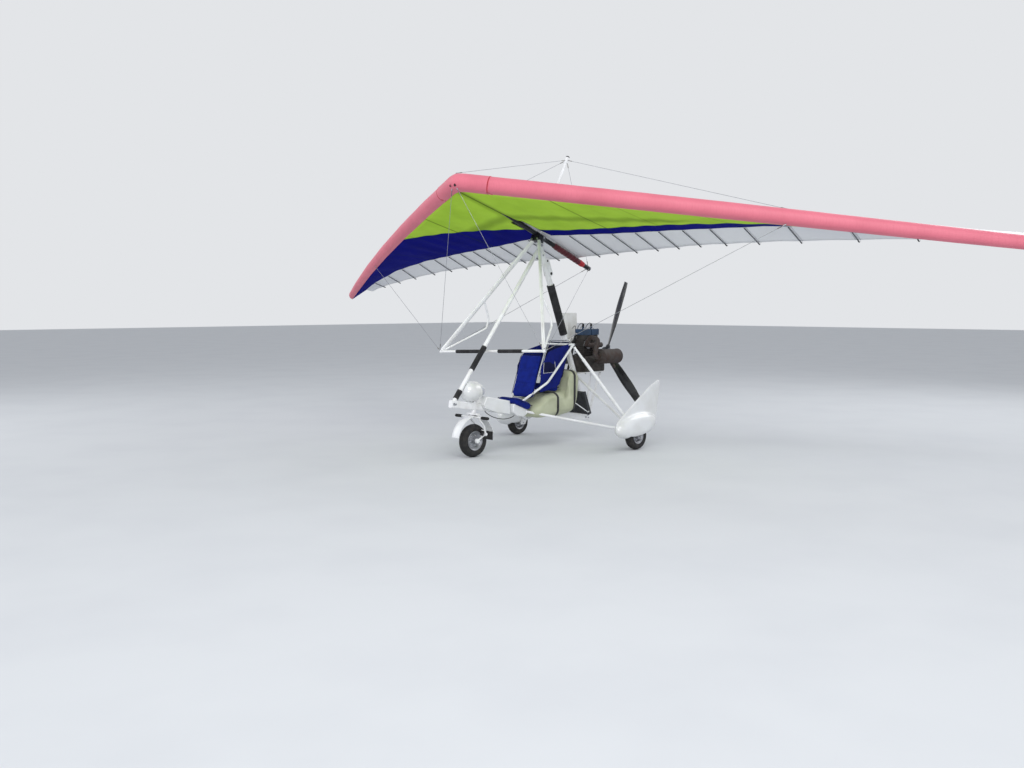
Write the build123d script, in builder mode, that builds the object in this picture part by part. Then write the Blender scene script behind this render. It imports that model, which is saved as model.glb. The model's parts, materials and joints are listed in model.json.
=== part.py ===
from build123d import *
import os
from math import atan2, cos, degrees, radians, sin, tan

# A two-seat flexwing microlight on its wheels: a white tube trike under a swept fabric wing.
# Millimetres, +X to the nose, +Y to port, +Z up. The trike is drawn about the ground under its
# rear axle, the wing about its hang point with the keel tube level, and each is then set in place.
os.makedirs("parts", exist_ok=True)

# Wheels
WHEELBASE = 1598.0
TRACK = 1782.0
FRONT_TYRE_R = 172.0
REAR_TYRE_R = 150.0
TYRE_WIDTH = 92.0
FRONT_RIM_R = 102.0
REAR_RIM_R = 86.0
RIM_WIDTH = 74.0
RIM_HOLES = 6
HUB_R = 30.0
HUB_WIDTH = 96.0
AXLE_R = 10.0

# Fits: a shaft in its bore, a moving part past a fixed one, and a soft part beside another
RUNNING = 0.05
CLEAR = 8.0
SEATED = 0.3

# Trike frame
REAR_AXLE_X = -490.0
KEEL_W = 50.0
KEEL_H = 76.0
KEEL_FRONT = (1908.0, 574.6)
KEEL_REAR = (-260.0, 258.0)
MAST_R = 32.0
STRUT_R = 22.0
FOAM_T = 6.0
MAST_FOAM_T = 12.0
SEAT_TUBE_R = 12.5
SEAT_BAR_R = 13.5
LEG_TUBE_R = 18.0
SLIM_TUBE_R = 14.0

# Hang point and the wing's attitude as it is parked
HANG = (576.0, 0.0, 2218.0)
NOSE_UP = 21.3
LEAN = 2.2

# Wing frame
NOSE_X = 1356.0
NOSE_HALF_ANGLE = 62.8
TIP_Y = 4760.0
BOW = 107.0
KEEL_Z = 90.0
TIP_DROP = 15.0
LEAD_SAG = 42.0
WING_KEEL_R = 25.0
WING_KEEL_FRONT = NOSE_X - 58.0
WING_KEEL_REAR = -870.0
NOSE_W = 100.0
SKIN = 5.0
UNDERSKIN = 3.0
CREST_PLACE = 0.30
CREST_RISE = 0.045
SLEEVE_BACK = 0.5
KINGPOST_R = 17.0
KINGPOST_FOOT_X = 60.0
KINGPOST_TOP = (-98.0, 0.0, 1113.0)
WIRE_R = 2.0
WIRE_Y = 2900.0

# Control frame, in the wing's frame
APEX = (79.0, 40.0, 30.0)
CORNER = (361.0, 746.0, -1353.0)
DOWNTUBE_CHORD = 52.0
DOWNTUBE_T = 27.0
BASE_BAR_R = 14.0
GRIP_T = 5.0
HANDLE_R = 11.0

# Propeller
PROP_X = -600.0
PROP_Z = 1012.0
PROP_R = 870.0
BLADE_ANGLES = (19.0, 139.0, 259.0)

TRIKE = Location((REAR_AXLE_X, 0, 0))
WING = (
    TRIKE
    * Location(HANG)
    * Location((0, 0, 0), (0, -NOSE_UP, 0))
    * Location((0, 0, KEEL_Z))
    * Location((0, 0, 0), (LEAN, 0, 0))
    * Location((0, 0, -KEEL_Z))
)
CENTRE_BASE = (Align.CENTER, Align.CENTER, Align.MIN)
finished = []


def finish(piece, label, frame=TRIKE):
    """Name a sub-part and note the frame it is set in."""
    piece.part.label = label
    finished.append((piece.part, label, frame))


def rod(start, end, radius, mode=Mode.ADD):
    """A straight round bar from one point to another."""
    run = Vector(*end) - Vector(*start)
    with Locations(Plane(origin=start, z_dir=run)):
        Cylinder(radius, run.length, align=CENTRE_BASE, mode=mode)


def bent_tube(points, bend, radius, mode=Mode.ADD):
    """A round tube along straight runs joined by arcs of one bend radius."""
    with BuildLine() as run:
        FilletPolyline(*points, radius=bend)
    with BuildSketch(Plane(origin=run.line @ 0, z_dir=run.line % 0)) as end:
        Circle(radius)
    sweep(sections=end.sketch, path=run.line, mode=mode)


def block(low, high, mode=Mode.ADD):
    """A box between two opposite corners."""
    size = [b - a for a, b in zip(low, high)]
    with Locations(Vector(*low)):
        Box(*size, align=(Align.MIN,) * 3, mode=mode)


def side_plane(y):
    """An upright plane along the aircraft, seen from starboard, whose sketch reads x and z."""
    return Plane(origin=(0, y, 0), x_dir=(1, 0, 0), z_dir=(0, -1, 0))


def mirrored(point):
    """The same place on the other side."""
    return (point[0], -point[1], point[2])


def between(start, end, share):
    """A point part of the way along a straight line."""
    return tuple(a + (b - a) * share for a, b in zip(start, end))


def keel_z(x):
    """Height of the keel beam's centre line."""
    slope = (KEEL_FRONT[1] - KEEL_REAR[1]) / (KEEL_FRONT[0] - KEEL_REAR[0])
    return KEEL_REAR[1] + slope * (x - KEEL_REAR[0])


# The mast stands on the keel beam's rear end and leans forward to the hang point.
MAST_FOOT = (-222.0, 0.0, keel_z(-222.0))
MAST_TOP = (552.0, 0.0, 2150.0)
STRUT_FOOT = (1880.0, 0.0, keel_z(1880.0))
STRUT_TOP = (618.0, 0.0, 2150.0)


def at_height(foot, top, z):
    """The point of a straight member at a height."""
    return between(foot, top, (z - foot[2]) / (top[2] - foot[2]))


# Steering axis, raked so that its top leans back
HEAD_X = 1583.0
HEAD_Z = 500.0
RAKE = 8.0
HEAD_R = 25.0
STEM_R = 14.0
HEAD_LOW = -44.0
HEAD_HIGH = 118.0
STEERING = Plane(
    origin=(HEAD_X, 0, HEAD_Z), x_dir=(0, 1, 0), z_dir=(-sin(radians(RAKE)), 0, cos(radians(RAKE)))
)

# Keel beam, with the steering head welded through it
KEEL_EDGE = 12.0
keel_run = Vector(KEEL_REAR[0] - KEEL_FRONT[0], 0, KEEL_REAR[1] - KEEL_FRONT[1])
with BuildPart() as keel_beam:
    with BuildSketch(
        Plane(origin=(KEEL_FRONT[0], 0, KEEL_FRONT[1]), x_dir=(0, 1, 0), z_dir=keel_run)
    ):
        RectangleRounded(KEEL_W, KEEL_H, KEEL_EDGE)
    extrude(amount=keel_run.length)
    with BuildSketch(STEERING.offset(HEAD_LOW)):
        Circle(HEAD_R)
    extrude(amount=HEAD_HIGH - HEAD_LOW)
    with BuildSketch(STEERING.offset(HEAD_LOW)):
        Circle(STEM_R + RUNNING)
    extrude(amount=HEAD_HIGH - HEAD_LOW, mode=Mode.SUBTRACT)
finish(keel_beam, "keel_beam")

# Mast, and its head with two ears that hold the hang pin
EAR_GAP = 18.0
EAR_T = 9.0
EAR_R = 24.0
PIN_R = 8.0
HEAD_DROP = 42.0
HEAD_DEPTH = 50.0
HEAD_AHEAD = 78.0
HEAD_BEHIND = 62.0
with BuildPart() as mast:
    rod(MAST_FOOT, MAST_TOP, MAST_R)
    add(keel_beam.part, mode=Mode.SUBTRACT)
    with BuildSketch(side_plane(0)):
        with BuildLine():
            Polyline(
                (HANG[0] - HEAD_BEHIND, HANG[2] - HEAD_DROP - HEAD_DEPTH),
                (HANG[0] - EAR_R, HANG[2] - HEAD_DROP),
                (HANG[0] + EAR_R, HANG[2] - HEAD_DROP),
                (HANG[0] + HEAD_AHEAD, HANG[2] - HEAD_DROP - HEAD_DEPTH),
                close=True,
            )
        make_face()
    extrude(amount=EAR_GAP + EAR_T, both=True)
    for side in (-1, 1):
        with BuildSketch(side_plane(side * (EAR_GAP + EAR_T / 2))):
            with Locations((HANG[0], HANG[2])):
                Circle(EAR_R)
            with Locations((HANG[0], HANG[2] - HEAD_DROP / 2)):
                Rectangle(2 * EAR_R, HEAD_DROP)
        extrude(amount=EAR_T / 2, both=True)
    with BuildSketch(side_plane(0)):
        with Locations((HANG[0], HANG[2])):
            Circle(PIN_R)
    extrude(amount=EAR_GAP + EAR_T, both=True)
finish(mast, "mast")

with BuildPart() as front_strut:
    rod(STRUT_FOOT, STRUT_TOP, STRUT_R)
    add(keel_beam.part, mode=Mode.SUBTRACT)
    add(mast.part, mode=Mode.SUBTRACT)
finish(front_strut, "front_strut")

# Foam sleeves on the front strut and the mast
FOAM_SPANS = (
    # foot, top, tube radius, foam thickness, lower height, upper height
    (STRUT_FOOT, STRUT_TOP, STRUT_R, FOAM_T, 905.0, 1135.0),
    (STRUT_FOOT, STRUT_TOP, STRUT_R, FOAM_T, 622.0, 700.0),
    (MAST_FOOT, MAST_TOP, MAST_R, MAST_FOAM_T, 1240.0, 1790.0),
)
with BuildPart() as frame_padding:
    for foot, top, radius, foam, low, high in FOAM_SPANS:
        rod(at_height(foot, top, low), at_height(foot, top, high), radius + foam)
        rod(foot, top, radius + SEATED / 2, mode=Mode.SUBTRACT)
    add(keel_beam.part, mode=Mode.SUBTRACT)
finish(frame_padding, "frame_padding")

# Seat frame: a bent tube each side and a bar across their tops
SEAT_FOOT = (1060.0, KEEL_W / 2, keel_z(1060.0))
SEAT_KNEE = (690.0, 222.0, 735.0)
SEAT_TOP = (285.0, 235.0, 1130.0)
SEAT_BEND = 120.0
SEAT_BAR_HALF = SEAT_TOP[1] + SEAT_TUBE_R + 4.0


def seat_frame(grown):
    """Cut the seat frame's tubes, a little grown, out of the part being drawn."""
    radius = SEAT_TUBE_R + grown
    top = (SEAT_TOP[0], SEAT_BAR_HALF, SEAT_TOP[2])
    rod(mirrored(top), top, SEAT_BAR_R + grown, Mode.SUBTRACT)
    bent_tube((SEAT_FOOT, SEAT_KNEE, SEAT_TOP), SEAT_BEND, radius, Mode.SUBTRACT)
    other = [mirrored(point) for point in (SEAT_FOOT, SEAT_KNEE, SEAT_TOP)]
    bent_tube(other, SEAT_BEND, radius, Mode.SUBTRACT)


with BuildPart() as seat_frame_top:
    rod((SEAT_TOP[0], -SEAT_BAR_HALF, SEAT_TOP[2]), (SEAT_TOP[0], SEAT_BAR_HALF, SEAT_TOP[2]), SEAT_BAR_R)
    add(mast.part, mode=Mode.SUBTRACT)
finish(seat_frame_top, "seat_frame_top")

with BuildPart() as seat_frame_sides:
    bent_tube((SEAT_FOOT, SEAT_KNEE, SEAT_TOP), SEAT_BEND, SEAT_TUBE_R)
    bent_tube([mirrored(point) for point in (SEAT_FOOT, SEAT_KNEE, SEAT_TOP)], SEAT_BEND, SEAT_TUBE_R)
    add(keel_beam.part, mode=Mode.SUBTRACT)
    add(seat_frame_top.part, mode=Mode.SUBTRACT)
finish(seat_frame_sides, "seat_frame_sides")

# Main legs: the thick strut from the seat frame's top, the wheel carrier and the stub axle
HUB_Y = TRACK / 2 - 91.0
LEG_END = (-70.0, HUB_Y, 222.0)
LEG_START = (285.0, 248.0, 1104.0)
CARRIER_T = 12.0
STUB_END_Y = TRACK / 2 + HUB_WIDTH / 2 + 10.0
THIN_SHARE = 0.16
THICK_SHARE = 0.15
with BuildPart() as main_legs:
    for side in (1, -1):
        start = (LEG_START[0], side * LEG_START[1], LEG_START[2])
        end = (LEG_END[0], side * LEG_END[1], LEG_END[2])
        rod(start, between(start, end, THIN_SHARE), SLIM_TUBE_R)
        rod(between(start, end, THICK_SHARE), end, LEG_TUBE_R)
        with BuildSketch(side_plane(side * HUB_Y)):
            with BuildLine():
                Polyline((-94, 250), (-40, 250), (34, 170), (34, 130), (-34, 130), close=True)
            make_face()
        extrude(amount=CARRIER_T / 2, both=True)
        rod((0, side * HUB_Y, REAR_TYRE_R), (0, side * STUB_END_Y, REAR_TYRE_R), AXLE_R)
    add(seat_frame_top.part, mode=Mode.SUBTRACT)
    add(seat_frame_sides.part, mode=Mode.SUBTRACT)
finish(main_legs, "main_legs")

# Lower struts: the drag struts from the keel beam and the middle struts from the mast
DRAG_START = (1000.0, KEEL_W / 2, keel_z(1000.0) + 8)
DRAG_END = (LEG_END[0] + 45, HUB_Y - 24, LEG_END[2] - 28)
MIDDLE_START = (-38.0, 18.0, 752.0)
MIDDLE_END = (LEG_END[0] + 12, HUB_Y - 24, LEG_END[2] + 4)
LOWER_STRUTS = ((DRAG_START, DRAG_END), (MIDDLE_START, MIDDLE_END))


def lower_strut_tubes(radius, mode=Mode.ADD):
    """The four lower struts' tubes, of one radius."""
    for start, end in LOWER_STRUTS:
        rod(start, end, radius, mode)
        rod(mirrored(start), mirrored(end), radius, mode)


with BuildPart() as lower_struts:
    lower_strut_tubes(SLIM_TUBE_R)
    for cutter in (keel_beam, mast, main_legs):
        add(cutter.part, mode=Mode.SUBTRACT)
finish(lower_struts, "lower_struts")

# Wheel fairings: a tall thin fin that swells into a teardrop round each rear wheel
FIN_T = 24.0
SPAT_X = 5.0
SPAT_Z = 262.0
SPAT_TILT = -6.0
SPAT_BULGE = (
    # distance from the wheel's middle plane, half length, half height
    (-84.0, 190.0, 66.0),
    (-72.0, 262.0, 96.0),
    (-45.0, 318.0, 120.0),
    (0.0, 345.0, 132.0),
    (45.0, 318.0, 120.0),
    (72.0, 262.0, 96.0),
    (84.0, 190.0, 66.0),
)
WHEEL_SLOT_R = REAR_TYRE_R + 14.0


def fin_outline():
    """The fairing's side view: round nose, raked front edge, tall tip and upright tail."""
    with BuildLine() as outline:
        nose = ThreePointArc((268, 149), (353, 255), (292, 356))
        rise = Polyline(nose @ 1, (101, 478), (-250, 688), (-360, 731))
        tip = ThreePointArc(rise @ 1, (-415, 740), (-440, 702))
        tail = Line(tip @ 1, (-385, 400))
        heel = ThreePointArc(tail @ 1, (-350, 290), (-279, 226))
        Polyline(heel @ 1, (-69, 186), (140, 134), nose @ 0)
    make_face(outline.edges())


for side, label in ((1, "wheel_fairing_left"), (-1, "wheel_fairing_right")):
    middle = side * TRACK / 2
    with BuildPart() as wheel_fairing:
        with BuildSketch(side_plane(middle)):
            fin_outline()
        extrude(amount=FIN_T / 2, both=True)
        for away, length, height in SPAT_BULGE:
            with BuildSketch(side_plane(middle + away)):
                with Locations(Location((SPAT_X, SPAT_Z, 0), (0, 0, SPAT_TILT))):
                    Ellipse(length, height)
        loft()
        with BuildSketch(side_plane(middle)):
            with Locations((0, REAR_TYRE_R)):
                Circle(WHEEL_SLOT_R)
            Rectangle(2 * WHEEL_SLOT_R, 2 * REAR_TYRE_R)
        extrude(amount=TYRE_WIDTH / 2 + CLEAR, both=True, mode=Mode.SUBTRACT)
        add(main_legs.part, mode=Mode.SUBTRACT)
        add(lower_struts.part, mode=Mode.SUBTRACT)
    finish(wheel_fairing, label)

# Leg fairing round the keel beam, and the egg-shaped instrument pod ahead of it
LEG_BOX_W = 140.0
LEG_BOX_EDGE = 10.0
with BuildPart() as leg_box:
    with BuildSketch(side_plane(0)):
        with BuildLine():
            Polyline(
                (1505, 540), (1455, 622), (1115, 556), (1108, 408), (1300, 440), (1480, 500),
                close=True,
            )
        make_face()
    extrude(amount=LEG_BOX_W / 2, both=True)
    fillet(leg_box.edges().filter_by(Axis.Y, reverse=True), LEG_BOX_EDGE)
    add(keel_beam.part, mode=Mode.SUBTRACT)
finish(leg_box, "leg_box")

POD_FRONT = 1752.0
POD_FAT_X = 1630.0
POD_REAR = 1420.0
POD_R = 104.0
POD_Z = 682.0
POD_FRONT_ARC = 114.0
POD_REAR_ARC = 262.0
POD_FOOT = ((1640, -16, 555), (1682, 16, 620))
with BuildPart() as instrument_pod:
    with BuildSketch(side_plane(0)):
        with BuildLine():
            front = RadiusArc((POD_FRONT, POD_Z), (POD_FAT_X, POD_Z + POD_R), -POD_FRONT_ARC)
            rear = RadiusArc(front @ 1, (POD_REAR, POD_Z), -POD_REAR_ARC)
            Line(rear @ 1, front @ 0)
        make_face()
    revolve(axis=Axis((0, 0, POD_Z), (1, 0, 0)))
    block(*POD_FOOT)
    rod(STRUT_FOOT, STRUT_TOP, STRUT_R + FOAM_T + SEATED, Mode.SUBTRACT)
    with BuildSketch(STEERING):
        Circle(HEAD_R + CLEAR / 2)
    extrude(amount=HEAD_HIGH + 12, mode=Mode.SUBTRACT)
    add(keel_beam.part, mode=Mode.SUBTRACT)
finish(instrument_pod, "instrument_pod")

# Seats: each a cushion and a leaning back, as plain soft solids
SEAT_CORNER = 0.35
SEATS = (
    # label, lower rear edge x and z, upper or front edge x and z, thickness, half width, room for tubes
    ("front_seat_cushion", (850, 470), (1098, 566), 70, 165, 12.0),
    ("front_seat_back", (862, 560), (700, 1030), 60, 163, SEATED),
    ("rear_seat_cushion", (425, 645.8), (660, 685.8), 70, 175, SEATED),
    ("rear_seat_back", (400, 745), (236, 1170), 60, 175, SEATED),
)
for seat_label, low, high, thick, half, room in SEATS:
    run = Vector(high[0] - low[0], high[1] - low[1])
    with BuildPart() as seat:
        with BuildSketch(side_plane(0)):
            middle = between(low, high, 0.5)
            with Locations(Location((*middle, 0), (0, 0, degrees(atan2(run.Y, run.X))))):
                RectangleRounded(run.length, thick, thick * SEAT_CORNER)
        extrude(amount=half, both=True)
        seat_frame(room)
        for cutter in (keel_beam, leg_box):
            add(cutter.part, mode=Mode.SUBTRACT)
    finish(seat, seat_label)

# Seat webs: a cloth panel each side, from the front seat's back to the rear seat's back
WEB_INNER = 175.0 + SEATED
WEB_T = 5.0
WEB_EDGE = 40.0
WEB_OUTLINE = (
    # x and z, from the corner that is cut back for the side handles, rearward and round
    (750, 900), (636, 1056), (580, 1078), (266, 1146), (446, 700), (512, 662), (768, 624),
)
for side, label in ((1, "seat_web_left"), (-1, "seat_web_right")):
    with BuildPart() as seat_web:
        with BuildSketch(side_plane(side * (WEB_INNER + WEB_T / 2))):
            with BuildLine() as outline:
                FilletPolyline(*WEB_OUTLINE, radius=WEB_EDGE, close=True)
            make_face(outline.edges())
        extrude(amount=WEB_T / 2, both=True)
        seat_frame(SEATED)
    finish(seat_web, label)

# Fuel tank: a rounded drum that straddles the keel beam, held by two straps
TANK_W = 420.0
TANK_EDGE = 32.0
TANK_ROUND = 28.0
STRUT_RECESS = 5.0
TANK_BASE = 200.0
STRAP_T = 3.0
STRAP_W = 34.0
STRAP_X = (505.0, 225.0)


def tank_outline():
    """The tank's side view: low in front, tall behind the seats."""
    with BuildLine() as outline:
        FilletPolyline(
            (790, 348), (850, 400), (838, 470), (640, 590), (345, 628), (300, 800), (230, 845),
            (150, 835), (112, 760), (130, 520), (205, 385), (420, 345), radius=TANK_EDGE, close=True,
        )
    make_face(outline.edges())


with BuildPart() as fuel_tank:
    with BuildSketch(side_plane(0)):
        tank_outline()
    extrude(amount=TANK_W / 2, both=True)
    fillet(fuel_tank.faces().sort_by(Axis.Y)[0].edges(), TANK_ROUND)
    fillet(fuel_tank.faces().sort_by(Axis.Y)[-1].edges(), TANK_ROUND)
    add(keel_beam.part, mode=Mode.SUBTRACT)
    lower_strut_tubes(SLIM_TUBE_R + STRUT_RECESS, Mode.SUBTRACT)
finish(fuel_tank, "fuel_tank")

with BuildPart() as tank_straps:
    with BuildSketch(side_plane(0)):
        tank_outline()
        offset(amount=STRAP_T)
    extrude(amount=TANK_W / 2 + STRAP_T, both=True)
    fillet(tank_straps.faces().sort_by(Axis.Y)[0].edges(), TANK_ROUND)
    fillet(tank_straps.faces().sort_by(Axis.Y)[-1].edges(), TANK_ROUND)
    with BuildSketch(Plane.XY.offset(TANK_BASE)):
        for x in STRAP_X:
            with Locations((x, 0)):
                Rectangle(STRAP_W, 2 * TANK_W)
    extrude(amount=2 * TANK_W, mode=Mode.INTERSECT)
    add(fuel_tank.part, mode=Mode.SUBTRACT)
    add(keel_beam.part, mode=Mode.SUBTRACT)
    lower_strut_tubes(SLIM_TUBE_R + STRUT_RECESS, Mode.SUBTRACT)
finish(tank_straps, "tank_straps")

# Tray under the front seat, moulded round the keel beam
TRAY_HALF = 108.0
TRAY_CORNER = 8.0
TRAY_EDGE = 7.0
with BuildPart() as seat_tray:
    with BuildSketch(side_plane(0)):
        with BuildLine() as outline:
            FilletPolyline(
                (1085, 522.9), (1103, 500), (1098, 430), (1040, 388), (940, 374), (884, 402), (870, 434),
                (890, 447.3), radius=TRAY_CORNER, close=True,
            )
        make_face(outline.edges())
    extrude(amount=TRAY_HALF, both=True)
    fillet(seat_tray.faces().filter_by(Axis.Y).edges(), TRAY_EDGE)
    seat_frame(SEATED)
    lower_strut_tubes(SLIM_TUBE_R + SEATED, Mode.SUBTRACT)
    add(keel_beam.part, mode=Mode.SUBTRACT)
finish(seat_tray, "seat_tray")

# Radiator in front of the mast's foot
RADIATOR_LOW = 345.0
RADIATOR_HIGH = 600.0
RADIATOR_W = 270.0
RADIATOR_T = 38.0
RADIATOR_GAP = 14.0
HEADER_W = 26.0
HEADER_PROUD = 10.0
HEADER_EDGE = 8.0
BRACKET_SHARES = (0.15, 0.8)
BRACKET_W = 40.0
BRACKET_T = 16.0
with BuildPart() as radiator:
    mast_run = Vector(*MAST_TOP) - Vector(*MAST_FOOT)
    core_low = at_height(MAST_FOOT, MAST_TOP, RADIATOR_LOW)
    core_length = (RADIATOR_HIGH - RADIATOR_LOW) * mast_run.length / mast_run.Z
    core = Plane(origin=core_low, x_dir=(0, 1, 0), z_dir=mast_run)
    ahead = MAST_R + RADIATOR_GAP + RADIATOR_T / 2
    with BuildSketch(core):
        with Locations((0, -ahead)):
            Rectangle(RADIATOR_W, RADIATOR_T)
    extrude(amount=core_length)
    with BuildSketch(core):
        with Locations((-RADIATOR_W / 2, -ahead), (RADIATOR_W / 2, -ahead)):
            RectangleRounded(HEADER_W, RADIATOR_T + HEADER_PROUD, HEADER_EDGE)
    extrude(amount=core_length)
    for share in BRACKET_SHARES:
        with BuildSketch(core.offset(core_length * share)):
            with Locations((0, -ahead / 2)):
                Rectangle(BRACKET_W, ahead)
        extrude(amount=BRACKET_T)
    add(mast.part, mode=Mode.SUBTRACT)
    add(keel_beam.part, mode=Mode.SUBTRACT)
finish(radiator, "radiator")

# Engine bed: a plate behind the mast and two braces up from the keel beam's rear end
BED_Z = 800.0
BED_T = 12.0
BED_W = 190.0
BED_REAR = -450.0
BED_FRONT = -10.0
BRACE_FOOT = (-236.0, 14.0, keel_z(-236.0))
BRACE_TOP = (-400.0, 70.0, BED_Z - BED_T / 2)
with BuildPart() as engine_bed:
    block((BED_REAR, -BED_W / 2, BED_Z - BED_T), (BED_FRONT, BED_W / 2, BED_Z))
    rod(BRACE_FOOT, BRACE_TOP, SLIM_TUBE_R)
    rod(mirrored(BRACE_FOOT), mirrored(BRACE_TOP), SLIM_TUBE_R)
    block((BED_REAR, -BED_W, BED_Z), (0, BED_W, BED_Z + 4 * SLIM_TUBE_R), mode=Mode.SUBTRACT)
    add(keel_beam.part, mode=Mode.SUBTRACT)
    add(mast.part, mode=Mode.SUBTRACT)
finish(engine_bed, "engine_bed")

# Engine: crankcase, two finned cylinders in line, gearbox behind, carburettors to starboard
CASE_TOP = 985.0
CASE = ((-430, -105, BED_Z), (-80, 105, CASE_TOP))
CASE_EDGE = 22.0
CYLINDER_X = (-165.0, -310.0)
CYLINDER_W = 128.0
CYLINDER_D = 150.0
CYLINDER_TOP = 1225.0
BARREL = (50.0, 58.0)
FINS = 8
FIN_PITCH = 24.0
FIN_HIGH = 9.0
FIRST_FIN_Z = 1000.0
INTAKE_R = 27.0
GEARBOX_R = 92.0
GEARBOX_Z = 962.0
GEARBOX_REAR = -520.0
SHAFT_R = 15.0
BEARING_R = 38.0
PORT_Z = 1110.0
with BuildPart() as engine:
    block(*CASE)
    fillet(engine.edges().filter_by(Axis.X), CASE_EDGE)
    for x in CYLINDER_X:
        block((x - BARREL[0], -BARREL[1], CASE_TOP), (x + BARREL[0], BARREL[1], CYLINDER_TOP))
        for fin in range(FINS):
            low = (x - CYLINDER_W / 2, -CYLINDER_D / 2, FIRST_FIN_Z + FIN_PITCH * fin)
            block(low, (x + CYLINDER_W / 2, CYLINDER_D / 2, low[2] + FIN_HIGH))
        rod((x, -BARREL[1], PORT_Z), (x, -160, PORT_Z + 20), INTAKE_R)
    rod((CASE[0][0] + 5, 0, GEARBOX_Z), (GEARBOX_REAR, 0, GEARBOX_Z), GEARBOX_R)
    rod((GEARBOX_REAR + 10, 0, PROP_Z), (GEARBOX_REAR - 30, 0, PROP_Z), BEARING_R)
    rod((GEARBOX_REAR - 20, 0, PROP_Z), (PROP_X - 20, 0, PROP_Z), SHAFT_R)
finish(engine, "engine")

HEAD_TOP = 1292.0
HEAD_HALF = (66.0, 72.0)
HEAD_EDGE = 16.0
PLUG_R = 14.0
PLUG_HIGH = 26.0
with BuildPart() as cylinder_heads:
    for x in CYLINDER_X:
        block((x - HEAD_HALF[0], -HEAD_HALF[1], CYLINDER_TOP), (x + HEAD_HALF[0], HEAD_HALF[1], HEAD_TOP))
        with Locations((x, 0, HEAD_TOP)):
            Cylinder(PLUG_R, PLUG_HIGH, align=CENTRE_BASE)
    fillet(cylinder_heads.edges().filter_by(Axis.Z), HEAD_EDGE)
finish(cylinder_heads, "cylinder_heads")

# Intake silencer: a tall box on the carburettors' mouths
SILENCER_EDGE = 18.0
SILENCER_BOXES = (
    # inner face y, depth, middle x and z, width, height
    (-160.0, 130.0, (-237.0, 1132.0), 226.0, 96.0),
    (-190.0, 100.0, (-192.0, 1322.0), 166.0, 312.0),
)
with BuildPart() as intake_silencer:
    for y, depth, middle, wide, tall in SILENCER_BOXES:
        with BuildSketch(side_plane(y)):
            with Locations(middle):
                RectangleRounded(wide, tall, SILENCER_EDGE)
        extrude(amount=depth)
    add(engine.part, mode=Mode.SUBTRACT)
finish(intake_silencer, "intake_silencer")

# Exhaust: manifold, one long bend and the muffler at the engine's port side
MUFFLER_Y = 300.0
MUFFLER_Z = 985.0
MUFFLER_R = 82.0
MUFFLER_FRONT = -75.0
MUFFLER_REAR = -455.0
MANIFOLD_Y = 122.0
MANIFOLD_R = 29.0
PORT_R = 22.0
PIPE_R = 27.0
PIPE_BEND = 34.0
TAIL_PIPE_R = 16.0
STAY_R = 10.0
PIPE_ROUTE = (
    (-160, MANIFOLD_Y, PORT_Z), (-60, 125, PORT_Z + 10), (-60, 200, PORT_Z + 95),
    (-70, MUFFLER_Y, PORT_Z + 70), (-5, MUFFLER_Y, MUFFLER_Z), (MUFFLER_FRONT - 20, MUFFLER_Y, MUFFLER_Z),
)
with BuildPart() as exhaust:
    for x in CYLINDER_X:
        rod((x, 50, PORT_Z), (x, MANIFOLD_Y + 3, PORT_Z), PORT_R)
    rod((-345, MANIFOLD_Y, PORT_Z), (-150, MANIFOLD_Y, PORT_Z), MANIFOLD_R)
    bent_tube(PIPE_ROUTE, PIPE_BEND, PIPE_R)
    with BuildSketch(side_plane(MUFFLER_Y)):
        with BuildLine():
            Polyline(
                (MUFFLER_FRONT, MUFFLER_Z), (MUFFLER_FRONT, MUFFLER_Z + 40),
                (MUFFLER_FRONT - 40, MUFFLER_Z + MUFFLER_R), (MUFFLER_REAR + 30, MUFFLER_Z + MUFFLER_R),
                (MUFFLER_REAR, MUFFLER_Z + 50), (MUFFLER_REAR, MUFFLER_Z), close=True,
            )
        make_face()
    revolve(axis=Axis((0, MUFFLER_Y, MUFFLER_Z), (1, 0, 0)))
    rod((-330, MUFFLER_Y, MUFFLER_Z - 60), (-330, MUFFLER_Y + 30, MUFFLER_Z - 130), TAIL_PIPE_R)
    rod((-250, MUFFLER_Y, MUFFLER_Z), (-250, 90, 905), STAY_R)
    add(engine.part, mode=Mode.SUBTRACT)
finish(exhaust, "exhaust")

# Propeller: hub on the gearbox shaft and three twisted blades
HUB_PLATE_R = 62.0
HUB_T = 56.0
HUB_EDGE = 8.0
BLADE_SECTIONS = (
    # distance from the shaft, chord, thickness, angle to the disc
    (50.0, 46.0, 34.0, 48.0),
    (170.0, 84.0, 20.0, 38.0),
    (420.0, 108.0, 13.0, 24.0),
    (700.0, 88.0, 9.0, 16.0),
    (PROP_R, 58.0, 6.0, 12.0),
)
with BuildPart() as propeller_hub:
    with BuildSketch(Plane(origin=(PROP_X, 0, PROP_Z), z_dir=(1, 0, 0))):
        Circle(HUB_PLATE_R)
    extrude(amount=HUB_T / 2, both=True)
    chamfer(propeller_hub.faces().sort_by(Axis.X)[0].edges(), HUB_EDGE)
    rod((PROP_X + HUB_T, 0, PROP_Z), (PROP_X - 20, 0, PROP_Z), SHAFT_R + RUNNING, Mode.SUBTRACT)
finish(propeller_hub, "propeller_hub")

with BuildPart() as propeller_blades:
    for angle in BLADE_ANGLES:
        outward = Vector(0, sin(radians(angle)), cos(radians(angle)))
        for reach, chord, thick, pitch in BLADE_SECTIONS:
            place = Plane(
                origin=Vector(PROP_X, 0, PROP_Z) + outward * reach, x_dir=(1, 0, 0), z_dir=outward
            )
            with BuildSketch(place):
                with Locations(Location((0, 0, 0), (0, 0, 90 - pitch))):
                    Ellipse(chord / 2, thick / 2)
        loft()
    add(propeller_hub.part, mode=Mode.SUBTRACT)
finish(propeller_blades, "propeller_blades")

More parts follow.
